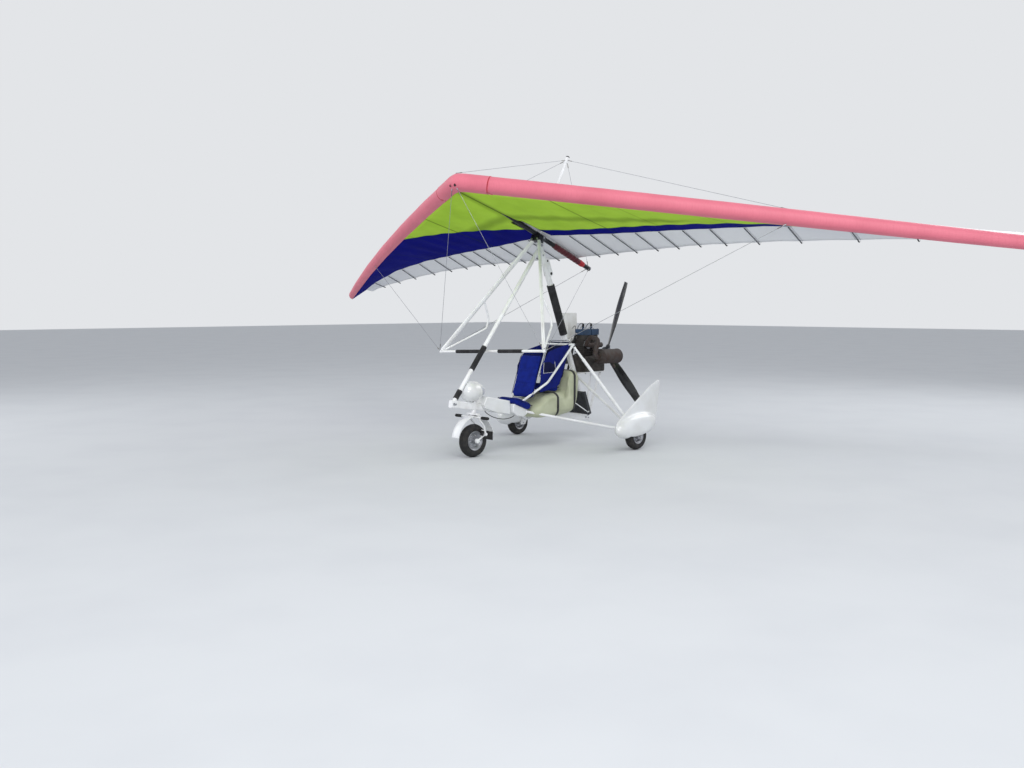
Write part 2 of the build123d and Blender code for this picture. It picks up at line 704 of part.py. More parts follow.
# Fork: stem, crown, bent legs behind the wheel, link arms forward to the axle and a foot bar
LEG_Y = 66.0
FORK_LEG_R = 10.0
LINK_R = 8.5
EYE_R = 17.0
EYE_HALF = 13.0
CROWN_HIGH = HEAD_LOW - 1.0
CROWN_LOW = HEAD_LOW - 18.0
PIVOT = (1482.0, 232.0)
LEG_ROUTE = ((1594.0, 446.0), (1560.0, 380.0), (1500.0, 320.0), PIVOT)
LEG_BEND = 60.0
STEM_PROUD = 6.0
CROWN = (2 * LEG_Y + 26.0, 54.0, 10.0)
FOOT_BAR = (1612.0, 418.0)
FOOT_BAR_Y = 240.0
FOOT_BAR_R = 9.0
PEG_R = 14.0
PEG_LENGTH = 95.0
STAY_FOOT = (1574.0, FOOT_BAR[1] - 4.0)
with BuildPart() as fork:
    with BuildSketch(STEERING.offset(CROWN_HIGH)):
        Circle(STEM_R)
    extrude(amount=HEAD_HIGH + STEM_PROUD - CROWN_HIGH)
    with BuildSketch(STEERING.offset(CROWN_LOW)):
        RectangleRounded(*CROWN)
    extrude(amount=CROWN_HIGH - CROWN_LOW)
    for side in (1, -1):
        y = side * LEG_Y
        peg_y = side * FOOT_BAR_Y
        bent_tube([(x, y, z) for x, z in LEG_ROUTE], LEG_BEND, FORK_LEG_R)
        for x, z in (PIVOT, (WHEELBASE, FRONT_TYRE_R)):
            rod((x, y - EYE_HALF, z), (x, y + EYE_HALF, z), EYE_R)
        rod((PIVOT[0], y, PIVOT[1]), (WHEELBASE, y, FRONT_TYRE_R), LINK_R)
        rod((FOOT_BAR[0], y, FOOT_BAR[1]), (STAY_FOOT[0], y, STAY_FOOT[1]), LINK_R - 0.5)
        rod((FOOT_BAR[0], peg_y, FOOT_BAR[1]), (FOOT_BAR[0], peg_y - side * PEG_LENGTH, FOOT_BAR[1]), PEG_R)
    rod((WHEELBASE, -LEG_Y - 5, FRONT_TYRE_R), (WHEELBASE, LEG_Y + 5, FRONT_TYRE_R), AXLE_R)
    rod((FOOT_BAR[0], -FOOT_BAR_Y, FOOT_BAR[1]), (FOOT_BAR[0], FOOT_BAR_Y, FOOT_BAR[1]), FOOT_BAR_R)
finish(fork, "fork")

# Mudguard: a crowned strip arched over the front wheel, with a rubber flap on its rear end
GUARD_R = 264.4
GUARD_T = 3.0
GUARD_W = 106.0
GUARD_CROWN = 10.0
GUARD_FROM = 12.0
GUARD_TO = 168.0
FLAP_LENGTH = 84.0
FLAP_T = 3.0
FLAP_INSET = 6.0
FLAP_LAP = 4.0
with BuildPart() as mudguard:
    front_end = Plane(
        origin=(WHEELBASE, 0, FRONT_TYRE_R), x_dir=(0, 1, 0),
        z_dir=(sin(radians(GUARD_FROM)), 0, -cos(radians(GUARD_FROM))),
    )
    with BuildSketch(front_end):
        with BuildLine():
            half, low = GUARD_W / 2, GUARD_R - GUARD_CROWN
            outer = ThreePointArc((-half, low), (0, GUARD_R), (half, low))
            inner = ThreePointArc((-half, low - GUARD_T), (0, GUARD_R - GUARD_T), (half, low - GUARD_T))
            Line(outer @ 0, inner @ 0)
            Line(outer @ 1, inner @ 1)
        make_face()
    revolve(
        axis=Axis((WHEELBASE, 0, FRONT_TYRE_R), (0, -1, 0)), revolution_arc=GUARD_TO - GUARD_FROM
    )
    add(fork.part, mode=Mode.SUBTRACT)
    add(keel_beam.part, mode=Mode.SUBTRACT)
finish(mudguard, "mudguard")

with BuildPart() as mudguard_flap:
    flap_angle = radians(GUARD_TO - 3.0)
    flap_x = WHEELBASE + cos(flap_angle) * (GUARD_R - GUARD_CROWN - GUARD_T - 3.1)
    flap_z = FRONT_TYRE_R + sin(flap_angle) * GUARD_R
    flap_half = GUARD_W / 2 - FLAP_INSET
    block((flap_x - FLAP_T, -flap_half, flap_z - FLAP_LENGTH), (flap_x, flap_half, flap_z + FLAP_LAP))
    add(mudguard.part, mode=Mode.SUBTRACT)
finish(mudguard_flap, "mudguard_flap")

# Wheels: a tyre turned about the axle, and a dished rim with its hub
WHEELS = (
    # name, x, y, tyre radius, rim radius
    ("front", WHEELBASE, 0.0, FRONT_TYRE_R, FRONT_RIM_R),
    ("rear_left", 0.0, TRACK / 2, REAR_TYRE_R, REAR_RIM_R),
    ("rear_right", 0.0, -TRACK / 2, REAR_TYRE_R, REAR_RIM_R),
)
TREAD_SHARE = 0.62
TREAD_DROP = 8.0
for wheel, x, y, tyre_r, rim_r in WHEELS:
    spin = Axis((x, y, tyre_r), (0, 1, 0))
    section = Plane(origin=(x, y, tyre_r), x_dir=(0, 1, 0), z_dir=(1, 0, 0))
    with BuildPart() as tyre:
        with BuildSketch(section):
            with BuildLine():
                half = TYRE_WIDTH / 2
                left = ThreePointArc((-RIM_WIDTH / 2, rim_r), (-half, (rim_r + tyre_r) / 2),
                                     (-half * TREAD_SHARE, tyre_r - TREAD_DROP))
                tread = ThreePointArc(left @ 1, (0, tyre_r), (half * TREAD_SHARE, tyre_r - TREAD_DROP))
                right = ThreePointArc(tread @ 1, (half, (rim_r + tyre_r) / 2), (RIM_WIDTH / 2, rim_r))
                Line(right @ 1, left @ 0)
            make_face()
        revolve(axis=spin)
    finish(tyre, f"{wheel}_tyre")
    with BuildPart() as rim:
        with BuildSketch(section):
            with BuildLine():
                side = [
                    (HUB_WIDTH / 2, AXLE_R + RUNNING), (HUB_WIDTH / 2, HUB_R), (12, HUB_R),
                    (8, rim_r * 0.62), (26, rim_r - 22), (RIM_WIDTH / 2 - 3, rim_r - 14),
                    (RIM_WIDTH / 2 + 3, rim_r - 2), (RIM_WIDTH / 2, rim_r),
                ]
                Polyline(*[(-across, out) for across, out in side], *reversed(side), close=True)
            make_face()
        revolve(axis=spin)
        with BuildSketch(side_plane(y)):
            with Locations((x, tyre_r)):
                with PolarLocations(HUB_R + (rim_r - HUB_R) * 0.42, RIM_HOLES):
                    Circle((rim_r - HUB_R) * 0.17)
        extrude(amount=RIM_WIDTH, both=True, mode=Mode.SUBTRACT)
    finish(rim, f"{wheel}_rim")

# Hang block: a collar on the wing's keel tube and a lug on the hang pin
COLLAR_R = 30.0
COLLAR_HALF = 35.0
LUG_T = 17.5
LUG_R = 20.0
HANG_FRAME = TRIKE * Location(HANG) * Location((0, 0, 0), (0, -NOSE_UP, 0))
with BuildPart() as hang_block:
    rod((-COLLAR_HALF, 0, KEEL_Z), (COLLAR_HALF, 0, KEEL_Z), COLLAR_R)
    with BuildSketch(side_plane(0)):
        Circle(LUG_R)
        with Locations((0, KEEL_Z / 2)):
            Rectangle(2 * LUG_R, KEEL_Z)
    extrude(amount=LUG_T, both=True)
    rod((-COLLAR_HALF, 0, KEEL_Z), (COLLAR_HALF, 0, KEEL_Z), WING_KEEL_R + RUNNING, Mode.SUBTRACT)
    with BuildSketch(side_plane(0)):
        Circle(PIN_R + RUNNING)
    extrude(amount=LUG_T, both=True, mode=Mode.SUBTRACT)
finish(hang_block, "hang_block", HANG_FRAME)

# Sail stations, from the keel to the wing tip
STATIONS = (
    # y, rear edge of the double surface x and z, trailing edge x and z, leading edge radius
    (0.0, -40.0, 130.0, -650.0, 132.0, 84.0),
    (820.0, -165.0, 134.0, -632.0, 136.0, 82.0),
    (1600.0, -285.0, 155.0, -645.0, 146.0, 79.0),
    (2420.0, -450.0, 186.0, -755.0, 162.0, 75.0),
    (3280.0, -690.0, 214.0, -945.0, 190.0, 69.0),
    (4150.0, -1010.0, 216.0, -1195.0, 232.0, 62.0),
    (TIP_Y, -1312.0, 246.0, -1440.0, 275.0, 55.0),
)
COLOUR_LINE = (
    # x and y of the seam between the underside's front and rear cloth, port to starboard
    (-340.0, 5000.0),
    (-316.0, 3795.0),
    (-154.0, 2473.0),
    (-27.0, 1436.0),
    (73.0, 345.0),
    (216.0, -110.0),
    (365.0, -584.0),
    (477.0, -1125.0),
    (572.0, -1723.0),
    (640.0, -2200.0),
)


def lead(y):
    """Centre of the leading edge at a distance out, bowed back by the sail's pull."""
    out = abs(y) / TIP_Y
    bend = 4 * out * (1 - out)
    return (
        NOSE_X - abs(y) / tan(radians(NOSE_HALF_ANGLE)) + BOW * bend,
        KEEL_Z - TIP_DROP * out - LEAD_SAG * bend,
    )


def station(y):
    """The sail's measures at any distance out: straight lines between the stations."""
    out = abs(y)
    for inner, outer in zip(STATIONS, STATIONS[1:]):
        if out <= outer[0]:
            break
    return between(inner, outer, (out - inner[0]) / (outer[0] - inner[0]))


def lead_section(y):
    """Outline of the leading edge pocket: a half round with a flat back."""
    x, z = lead(y)
    r = station(y)[5]
    back = x - r * SLEEVE_BACK
    with BuildSketch(side_plane(y)) as section:
        with BuildLine() as outline:
            nose = ThreePointArc((x, z - r), (x + r, z), (x, z + r))
            Polyline(nose @ 1, (back, z + r), (back, z - r), nose @ 0)
        make_face(outline.edges())
    return section.sketch


def skin_section(y):
    """Outline of the upper skin: crest behind the leading edge, then nearly flat to the rear."""
    x, z = lead(y)
    _, rear_x, rear_z, tail_x, tail_z, r = station(y)
    front = (x - r * SLEEVE_BACK, z + r)
    chord = x - tail_x
    joint = (rear_x, rear_z + UNDERSKIN + SKIN)
    tail = (tail_x, tail_z + SKIN)
    under_crest = between(front, joint, CREST_PLACE * chord / (front[0] - joint[0]))
    crest = (under_crest[0], under_crest[1] + CREST_RISE * chord)
    middle = between(crest, joint, 0.5)
    level = (joint[0] - front[0], joint[1] - front[1])
    with BuildSketch(side_plane(y)) as section:
        with BuildLine() as outline:
            for drop in (0, SKIN):
                low = [(px, pz - drop) for px, pz in (front, crest, middle, joint, tail)]
                TangentArc(low[1], low[0], tangent=(-level[0], -level[1]))
                rise = TangentArc(low[1], low[2], tangent=level)
                TangentArc(rise @ 1, low[3], tangent=rise % 1)
                Line(low[3], low[4])
            Line(front, (front[0], front[1] - SKIN))
            Line(tail, (tail[0], tail[1] - SKIN))
        make_face(outline.edges())
    return section.sketch


def panel_section(y):
    """Outline of the underside, from the leading edge pocket's bottom to the double surface's end."""
    x, z = lead(y)
    _, rear_x, rear_z, _, _, r = station(y)
    front = (x - r * SLEEVE_BACK, z - r)
    with BuildSketch(side_plane(y)) as section:
        with BuildLine() as outline:
            Polyline(
                front, (rear_x, rear_z), (rear_x, rear_z + UNDERSKIN), (front[0], front[1] + UNDERSKIN),
                close=True,
            )
        make_face(outline.edges())
    return section.sketch


SPREAD = [row[0] for row in STATIONS]

# Wing keel tube, and the kingpost that stands on it through the sail
with BuildPart() as wing_keel:
    rod((WING_KEEL_FRONT, 0, KEEL_Z), (WING_KEEL_REAR, 0, KEEL_Z), WING_KEEL_R)
finish(wing_keel, "wing_keel", WING)

KINGPOST_FOOT = (KINGPOST_FOOT_X, 0.0, KEEL_Z)
CAP_SHARE = 0.93
CAP_T = 4.0
with BuildPart() as kingpost:
    rod(KINGPOST_FOOT, KINGPOST_TOP, KINGPOST_R)
    rod(between(KINGPOST_FOOT, KINGPOST_TOP, CAP_SHARE), KINGPOST_TOP, KINGPOST_R + CAP_T)
    add(wing_keel.part, mode=Mode.SUBTRACT)
finish(kingpost, "kingpost", WING)

# Leading edge pockets, and the nose cover that joins them
with BuildPart() as nose_cover:
    for y in (-NOSE_W, 0.0, NOSE_W):
        add(lead_section(y))
    loft(ruled=True)
finish(nose_cover, "nose_cover", WING)

HATCH = ((-80.0, -75.0, -60.0), (430.0, 75.0, 200.0))
pockets = []
for side, name in ((1, "left"), (-1, "right")):
    with BuildPart() as leading_edge:
        loft(sections=[lead_section(side * y) for y in [NOSE_W] + SPREAD[1:]], ruled=True)
    finish(leading_edge, f"leading_edge_{name}", WING)
    pockets.append(leading_edge)

    with BuildPart() as sail:
        loft(sections=[skin_section(side * y) for y in SPREAD], ruled=True)
        rod(KINGPOST_FOOT, KINGPOST_TOP, KINGPOST_R + SEATED, Mode.SUBTRACT)
        add(nose_cover.part, mode=Mode.SUBTRACT)
    finish(sail, f"sail_{name}", WING)

    for colour, mode in (("front", Mode.INTERSECT), ("rear", Mode.SUBTRACT)):
        with BuildPart() as underside:
            loft(sections=[panel_section(side * y) for y in SPREAD], ruled=True)
            block(*HATCH, Mode.SUBTRACT)
            rod((NOSE_X, 0, KEEL_Z), (WING_KEEL_REAR, 0, KEEL_Z), WING_KEEL_R + SEATED, Mode.SUBTRACT)
            add(nose_cover.part, mode=Mode.SUBTRACT)
            with BuildSketch(Plane.XY.offset(-200)):
                with BuildLine() as ahead:
                    Polyline(*COLOUR_LINE, (2000, COLOUR_LINE[-1][1]), (2000, COLOUR_LINE[0][1]), close=True)
                make_face(ahead.edges())
            extrude(amount=700, mode=mode)
        finish(underside, f"underside_{colour}_{name}", WING)

# Battens under the single rear part of the sail
BATTEN_Y = (300.0, 560.0, 820.0, 1090.0, 1350.0, 1610.0, 1890.0, 2230.0, 2640.0, 3160.0, 3660.0, 4200.0)
BATTEN_R = 5.0
BATTEN_HIDDEN = 14.0
BATTEN_PROUD = 20.0
with BuildPart() as battens:
    for side in (1, -1):
        for y in BATTEN_Y:
            _, rear_x, rear_z, tail_x, tail_z, _ = station(y)
            drop = BATTEN_R + SEATED
            front_end = (rear_x, side * y, rear_z + UNDERSKIN - drop)
            rear_end = (tail_x, side * y, tail_z - drop)
            reach = rear_x - tail_x
            rod(between(front_end, rear_end, BATTEN_HIDDEN / reach),
                between(front_end, rear_end, 1 + BATTEN_PROUD / reach), BATTEN_R)
finish(battens, "battens", WING)

# Control frame: apex bracket, two faired downtubes, base bar with foam grips, side handles
with BuildPart() as apex_bracket:
    rod((APEX[0] - 24, 0, KEEL_Z), (APEX[0] + 24, 0, KEEL_Z), WING_KEEL_R + 6)
    block((APEX[0] - 32, -APEX[1] - 18, APEX[2] - 16), (APEX[0] + 32, APEX[1] + 18, KEEL_Z - 8))
    add(wing_keel.part, mode=Mode.SUBTRACT)
    add(kingpost.part, mode=Mode.SUBTRACT)
finish(apex_bracket, "apex_bracket", WING)

with BuildPart() as base_bar:
    rod(mirrored(CORNER), CORNER, BASE_BAR_R)
    for corner in (CORNER, mirrored(CORNER)):
        with Locations(corner):
            Sphere(BASE_BAR_R + 6)
finish(base_bar, "base_bar", WING)

with BuildPart() as downtubes:
    for side in (1, -1):
        top = Vector(APEX[0], side * APEX[1], APEX[2])
        foot = Vector(CORNER[0], side * CORNER[1], CORNER[2])
        with BuildSketch(Plane(origin=top, x_dir=(1, 0, 0.2), z_dir=foot - top)):
            Ellipse(DOWNTUBE_CHORD / 2, DOWNTUBE_T / 2)
        extrude(amount=(foot - top).length - BASE_BAR_R - 2)
    add(apex_bracket.part, mode=Mode.SUBTRACT)
    add(base_bar.part, mode=Mode.SUBTRACT)
finish(downtubes, "downtubes", WING)

GRIPS = ((-500.0, -90.0), (125.0, 460.0))
with BuildPart() as bar_grips:
    for low, high in GRIPS:
        rod((CORNER[0], low, CORNER[2]), (CORNER[0], high, CORNER[2]), BASE_BAR_R + GRIP_T)
        rod(mirrored(CORNER), CORNER, BASE_BAR_R + SEATED / 2, Mode.SUBTRACT)
finish(bar_grips, "bar_grips", WING)

HANDLE = ((232, 421, -705), (66, 455, -861), (40, 475, -969), (344, 728, -1332))
with BuildPart() as side_handles:
    bent_tube(HANDLE, 50, HANDLE_R)
    bent_tube([mirrored(point) for point in HANDLE], 50, HANDLE_R)
    add(downtubes.part, mode=Mode.SUBTRACT)
    add(base_bar.part, mode=Mode.SUBTRACT)
finish(side_handles, "side_handles", WING)

# Keel sleeve: a fabric sleeve behind the hang block with a turned end cap
SLEEVE_FRONT = -197.0
SLEEVE_REAR = -755.0
SLEEVE_R = 36.0
with BuildPart() as keel_sleeve:
    rod((SLEEVE_FRONT, 0, KEEL_Z), (SLEEVE_REAR, 0, KEEL_Z), SLEEVE_R)
    rod((NOSE_X, 0, KEEL_Z), (WING_KEEL_REAR - 1, 0, KEEL_Z), WING_KEEL_R + SEATED / 2, Mode.SUBTRACT)
finish(keel_sleeve, "keel_sleeve", WING)

# Rigging: the main stays above and below the sail
wire_x, wire_z = lead(WIRE_Y)
wire_top = wire_z + station(WIRE_Y)[5]
wire_low = wire_z - station(WIRE_Y)[5]
KINGPOST_TANG = (KINGPOST_TOP[0] + 3, 0.0, KINGPOST_TOP[2] - 30)
STAYS = (
    # start and end of each stay of the port side, which the starboard side mirrors
    ((CORNER[0], CORNER[1] + 16, CORNER[2] + 4), (wire_x, WIRE_Y, wire_low + 1)),
    ((CORNER[0] + 14, CORNER[1] + 8, CORNER[2]), (NOSE_X + 14, 30.0, KEEL_Z - 70)),
    ((CORNER[0] - 8, CORNER[1] + 14, CORNER[2]), (WING_KEEL_REAR + 18, 12.0, KEEL_Z)),
    (KINGPOST_TANG, (wire_x, WIRE_Y, wire_top - 1)),
)
MIDDLE_STAYS = (
    (KINGPOST_TANG, (NOSE_X + 40, 0, KEEL_Z + 70)),
    (KINGPOST_TANG, (WING_KEEL_REAR + 14, 0, KEEL_Z)),
)
with BuildPart() as rigging:
    for start, end in STAYS:
        rod(start, end, WIRE_R)
        rod(mirrored(start), mirrored(end), WIRE_R)
    for start, end in MIDDLE_STAYS:
        rod(start, end, WIRE_R)
    for cutter in (kingpost, wing_keel, nose_cover, base_bar, *pockets):
        add(cutter.part, mode=Mode.SUBTRACT)
finish(rigging, "rigging", WING)

for part, label, frame in finished:
    export_step(part.moved(frame), f"parts/{label}.step")
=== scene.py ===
# %% [markdown]
# # A two-seat flexwing microlight
#
# The aircraft is a white tube trike with a pusher engine, hung under a swept fabric wing. The
# solids, their sizes and their joints come from a imported CAD model. This lesson dresses that
# model: it makes the sailcloth, the padded seats, the moulded tank and fairings, the tread and
# the small fittings, and it gives every surface a finish that is made of nodes alone.
#
# Each step has a short note first, then a short cell of code, and most cells print what they made.

# %% Load the frame
import bmesh
import bpy
import json
import math
from mathutils import Matrix, Vector, noise


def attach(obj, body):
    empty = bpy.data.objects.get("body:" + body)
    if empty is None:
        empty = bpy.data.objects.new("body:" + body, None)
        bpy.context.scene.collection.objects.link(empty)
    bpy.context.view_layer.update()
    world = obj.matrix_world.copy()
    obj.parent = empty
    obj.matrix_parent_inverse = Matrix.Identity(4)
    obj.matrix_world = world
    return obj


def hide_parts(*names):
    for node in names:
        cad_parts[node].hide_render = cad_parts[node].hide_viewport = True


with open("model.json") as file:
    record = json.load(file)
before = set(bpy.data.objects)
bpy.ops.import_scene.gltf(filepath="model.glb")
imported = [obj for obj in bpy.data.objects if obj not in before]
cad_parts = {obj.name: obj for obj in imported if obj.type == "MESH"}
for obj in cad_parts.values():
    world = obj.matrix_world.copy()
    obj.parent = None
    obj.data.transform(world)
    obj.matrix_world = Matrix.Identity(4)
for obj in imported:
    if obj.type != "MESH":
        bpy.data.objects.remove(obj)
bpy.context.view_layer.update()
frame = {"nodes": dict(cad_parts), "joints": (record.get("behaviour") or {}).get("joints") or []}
joints = {joint["name"]: joint for joint in frame["joints"]}
nodes = frame["nodes"]

# %% [markdown]
# ## Where the trike and the wing are
#
# The trike was drawn about the ground under its rear axle, and the wing about its hang bolt with
# the keel tube level. Both places can be read from the joints, so nothing has to be measured by
# eye: the rear wheel's joint gives the axle, the pitch joint gives the bolt, and the roll joint's
# axis lies along the keel tube and gives the nose-up angle. Only the small lean is stated here.
# All later measures are in millimetres in one of these two frames, as on a drawing.

# %% Frames of the trike and the wing
MM = 0.001
LEAN = math.radians(2.2)
AXLE = Vector(joints["rear_left_wheel_spin"]["pos_m"])
BOLT = Vector(joints["wing_pitch"]["pos_m"])
KEEL_POINT = Vector(joints["wing_roll"]["pos_m"])
KEEL_AXIS = Vector(joints["wing_roll"]["axis"])
NOSE_UP = math.atan2(KEEL_AXIS.z, KEEL_AXIS.x)
KEEL_ABOVE_BOLT = (KEEL_POINT - BOLT).length
TRIKE = Matrix.Translation((AXLE.x, 0, 0))
WING = (
    Matrix.Translation(BOLT)
    @ Matrix.Rotation(-NOSE_UP, 4, "Y")
    @ Matrix.Translation((0, 0, KEEL_ABOVE_BOLT))
    @ Matrix.Rotation(LEAN, 4, "X")
    @ Matrix.Translation((0, 0, -KEEL_ABOVE_BOLT))
)
WING_TURN = WING.to_3x3()
WING_BACK = WING.inverted()


def mm(x, y, z):
    """A place in millimetres as metres."""
    return Vector((x, y, z)) * MM


def on_trike(x, y, z):
    """A place in the trike's millimetres, as metres in the model."""
    return TRIKE @ mm(x, y, z)


def on_wing(x, y, z):
    """A place in the wing's millimetres, as metres in the model."""
    return WING @ mm(x, y, z)


print("nose up", round(math.degrees(NOSE_UP), 1), "degrees")
print("keel", round(KEEL_ABOVE_BOLT, 3), "m over the bolt")

# %% [markdown]
# ## The camera
#
# The camera stands some ten metres off the port bow, at eye height, looking very slightly down.
# The lens was worked out from the horizon and from the three wheels' places on the ground, so the
# frame needs no shift and no depth of field.

# %% Camera
PHOTO_W = 1024
FOCAL_PX = 952.4
SENSOR = 36.0
EYE = TRIKE @ Vector((8.328, 7.091, 1.556))
LOOK = Vector((-0.7178, -0.6962, -0.0817))
lens = bpy.data.cameras.new("camera")
lens.sensor_width = SENSOR
lens.lens = FOCAL_PX * SENSOR / PHOTO_W
camera = bpy.data.objects.new("camera", lens)
camera.location = EYE
camera.rotation_mode = "QUATERNION"
camera.rotation_quaternion = LOOK.to_track_quat("-Z", "Y")
bpy.context.scene.collection.objects.link(camera)
bpy.context.scene.camera = camera
print("lens", round(lens.lens, 2), "mm")

# %% [markdown]
# ## Colours and nodes
#
# Colours are written as sRGB hex values, as a paint chart gives them, and one function turns them
# into the linear values that the renderer works in. One more function adds a shader node with its
# settings and links. The other helpers name what is asked of it most often: a sum, a change of
# range and a soft noise whose patches have a real size.

# %% Colour and node helpers


def srgb(code):
    """A hex colour as linear red, green, blue and a full alpha."""
    parts = [int(code[i:i + 2], 16) / 255 for i in (1, 3, 5)]
    return tuple(c / 12.92 if c <= 0.04045 else ((c + 0.055) / 1.055) ** 2.4 for c in parts) + (1.0,)


def add(tree, kind, inputs=None, **settings):
    """Add a shader node. An input is a value, or another node's output to link to."""
    made = tree.nodes.new("ShaderNode" + kind)
    for name, value in settings.items():
        setattr(made, name, value)
    for name, value in (inputs or {}).items():
        if isinstance(value, bpy.types.NodeSocket):
            tree.links.new(value, made.inputs[name])
        else:
            made.inputs[name].default_value = value
    return made


def maths(tree, operation, first, second=0.5):
    """A sum on two numbers, or on the first alone where the operation has only one. Its output."""
    return add(tree, "Math", {0: first, 1: second}, operation=operation).outputs[0]


def ranged(tree, value, low, high, at_low=0.0, at_high=1.0, **settings):
    """A number that goes from at_low to at_high while the value goes from low to high. Its output."""
    return add(tree, "MapRange", {
        "Value": value, "From Min": low, "From Max": high, "To Min": at_low, "To Max": at_high,
    }, **settings).outputs[0]


def noisy(tree, where, size_mm, detail):
    """A soft noise with patches of a real size. Its output."""
    return add(tree, "TexNoise", {"Vector": where, "Scale": 1000 / size_mm, "Detail": detail}).outputs["Fac"]


def noted(tree, name):
    """A number that the vertices carry. Its output."""
    return add(tree, "Attribute", attribute_name=name).outputs["Fac"]


def new_material(name, **sockets):
    """A material with its shader's own sockets set. Gives its tree, shader and object coordinates too."""
    made = bpy.data.materials.new(name)
    made.use_nodes = True
    tree = made.node_tree
    shader = tree.nodes["Principled BSDF"]
    for socket, value in sockets.items():
        shader.inputs[socket.replace("_", " ")].default_value = value
    return made, tree, shader, add(tree, "TexCoord").outputs["Object"]


# ShaderNodeMix lists its float, vector and colour sockets together: these are the colour ones.
MIX_A, MIX_B, MIX_OUT = 6, 7, 2
# A noise lies mostly between 0.3 and 0.7: dirt starts just under its middle and is full above it.
DIRT_STARTS, DIRT_FULL = 0.42, 0.68


def mixed(tree, share, below, above):
    """One colour output over another where share says. Its output."""
    mix = add(tree, "Mix", {"Factor": share, MIX_A: below, MIX_B: above}, data_type="RGBA")
    return mix.outputs[MIX_OUT]


def mottled(tree, where, clean, dirty, size_mm, amount, detail=6.0):
    """Two colours mixed by a soft noise whose patches have a real size. Its output."""
    patches = noisy(tree, where, size_mm, detail)
    share = ranged(tree, patches, DIRT_STARTS, DIRT_FULL, 0.0, amount)
    return mixed(tree, share, srgb(clean), srgb(dirty))


def layered(tree, below, colour, share):
    """A plain colour laid over another output where share says. Its output."""
    return mixed(tree, share, below, srgb(colour))


def bumped(tree, shader, heights):
    """Stack bumps on a shader. Each is a height output, its depth in mm and its strength."""
    last = None
    for height, depth_mm, strength in heights:
        inputs = {"Height": height, "Distance": depth_mm * MM, "Strength": strength}
        if last:
            inputs["Normal"] = last
        last = add(tree, "Bump", inputs).outputs["Normal"]
    tree.links.new(last, shader.inputs["Normal"])


def paint(piece, made):
    """Give a piece one material in place of what it has."""
    piece.data.materials.clear()
    piece.data.materials.append(made)


finishes = {}
print("helpers ready")

# %% [markdown]
# ## Painted, moulded and cast finishes
#
# Most of the trike is one of a dozen hard finishes. One table holds them all: the clean and the
# worn colour, how large the worn patches are in millimetres and how much they show, the gloss,
# and the grain that the bump draws. Grains finer than two millimetres would not show from ten
# metres off, so they are drawn that large.

# %% Hard finishes
HARD = (
    # key, material's name, clean, worn, patch mm, worn share, roughness, metal, coat, grain mm, depth mm
    # Powder coat: a faint orange peel under a clear gloss, greyer where hands and dust reach it
    ("frame", "white_powder_coated_steel", "#ECEDEF", "#B4B1A8", 160, 0.35, 0.30, 0, 0.35, 6, 0.05),
    # Gelcoat: smoother and glossier than paint, with soft broad reflections
    ("gelcoat", "white_gelcoat", "#E3E5E7", "#C0BEB5", 240, 0.35, 0.20, 0, 0.8, 30, 0.08),
    # Bare plastic: a waxy, blurred gloss with no coat over it
    ("silencer", "white_moulded_polyethylene", "#F1F1EF", "#D2CEC4", 90, 0.4, 0.45, 0, 0, 5, 0.08),
    ("tank", "pale_green_moulded_polyethylene", "#B9BDA2", "#9FA386", 140, 0.6, 0.42, 0, 0, 6, 0.1),
    # Foam: open, matt and deep black, grey with dust on its skin
    ("foam", "black_closed_cell_foam", "#1B1B1E", "#3A3A3D", 60, 0.5, 0.95, 0, 0, 4, 0.5),
    # Castings: sandy and dull, with a little metal in their shine
    ("alloy", "dark_cast_alloy", "#34312F", "#55504C", 70, 0.7, 0.62, 0.55, 0, 3, 0.3),
    ("head", "blue_anodised_casting", "#233F5E", "#182638", 50, 0.6, 0.45, 0.4, 0.2, 3, 0.15),
    # Machined and anodised metal: sharp highlights broken by fine tool marks
    ("machined", "bright_machined_alloy", "#B9BBC0", "#85868A", 40, 0.5, 0.32, 1, 0, 2, 0.03),
    ("hub", "dark_machined_alloy", "#5B5C61", "#3A3A3D", 30, 0.6, 0.38, 0.9, 0, 3, 0.05),
    ("copper", "tinned_copper_sleeve", "#8F8C88", "#6A6661", 20, 0.5, 0.35, 0.9, 0, 2, 0.02),
    ("black_tube", "black_anodised_tube", "#1C1D21", "#34353A", 110, 0.5, 0.36, 0.5, 0.1, 4, 0.03),
    ("batten", "grey_aluminium_tube", "#6E7076", "#4A4B50", 60, 0.5, 0.40, 0.9, 0, 3, 0.03),
    # Rim paint: silver flake under a thin coat, brown-grey with brake dust
    ("rim", "silver_painted_rim", "#9EA0A6", "#6A6A6C", 45, 0.6, 0.38, 0.6, 0.3, 4, 0.05),
    # Blades: black under a clear coat, with long soft highlights
    ("prop", "black_carbon_composite", "#17181B", "#2C2D31", 90, 0.5, 0.30, 0, 0.5, 8, 0.04),
    # Rubber hose: dull, with a bloom that greys it
    ("rubber_hose", "black_rubber_hose", "#141416", "#2B2B2C", 40, 0.6, 0.7, 0, 0, 4, 0.2),
)
# Worn patches are duller and clean ones shinier, in patches a third as large as the colour's
WEAR_SIZE, SHINIER, DULLER = 0.35, 0.85, 1.25
for key, name, clean, worn, patch, share, rough, metal, coat, grain, depth in HARD:
    made, tree, shader, where = new_material(name, Metallic=metal, Coat_Weight=coat, Coat_Roughness=0.08)
    tree.links.new(mottled(tree, where, clean, worn, patch, share), shader.inputs["Base Color"])
    wear = noisy(tree, where, patch * WEAR_SIZE, 4.0)
    gloss = ranged(tree, wear, 0.3, 0.7, rough * SHINIER, min(1.0, rough * DULLER))
    tree.links.new(gloss, shader.inputs["Roughness"])
    bumped(tree, shader, [(noisy(tree, where, grain, 2.0), depth, 0.6)])
    finishes[key] = made
print(len(HARD), "hard finishes")

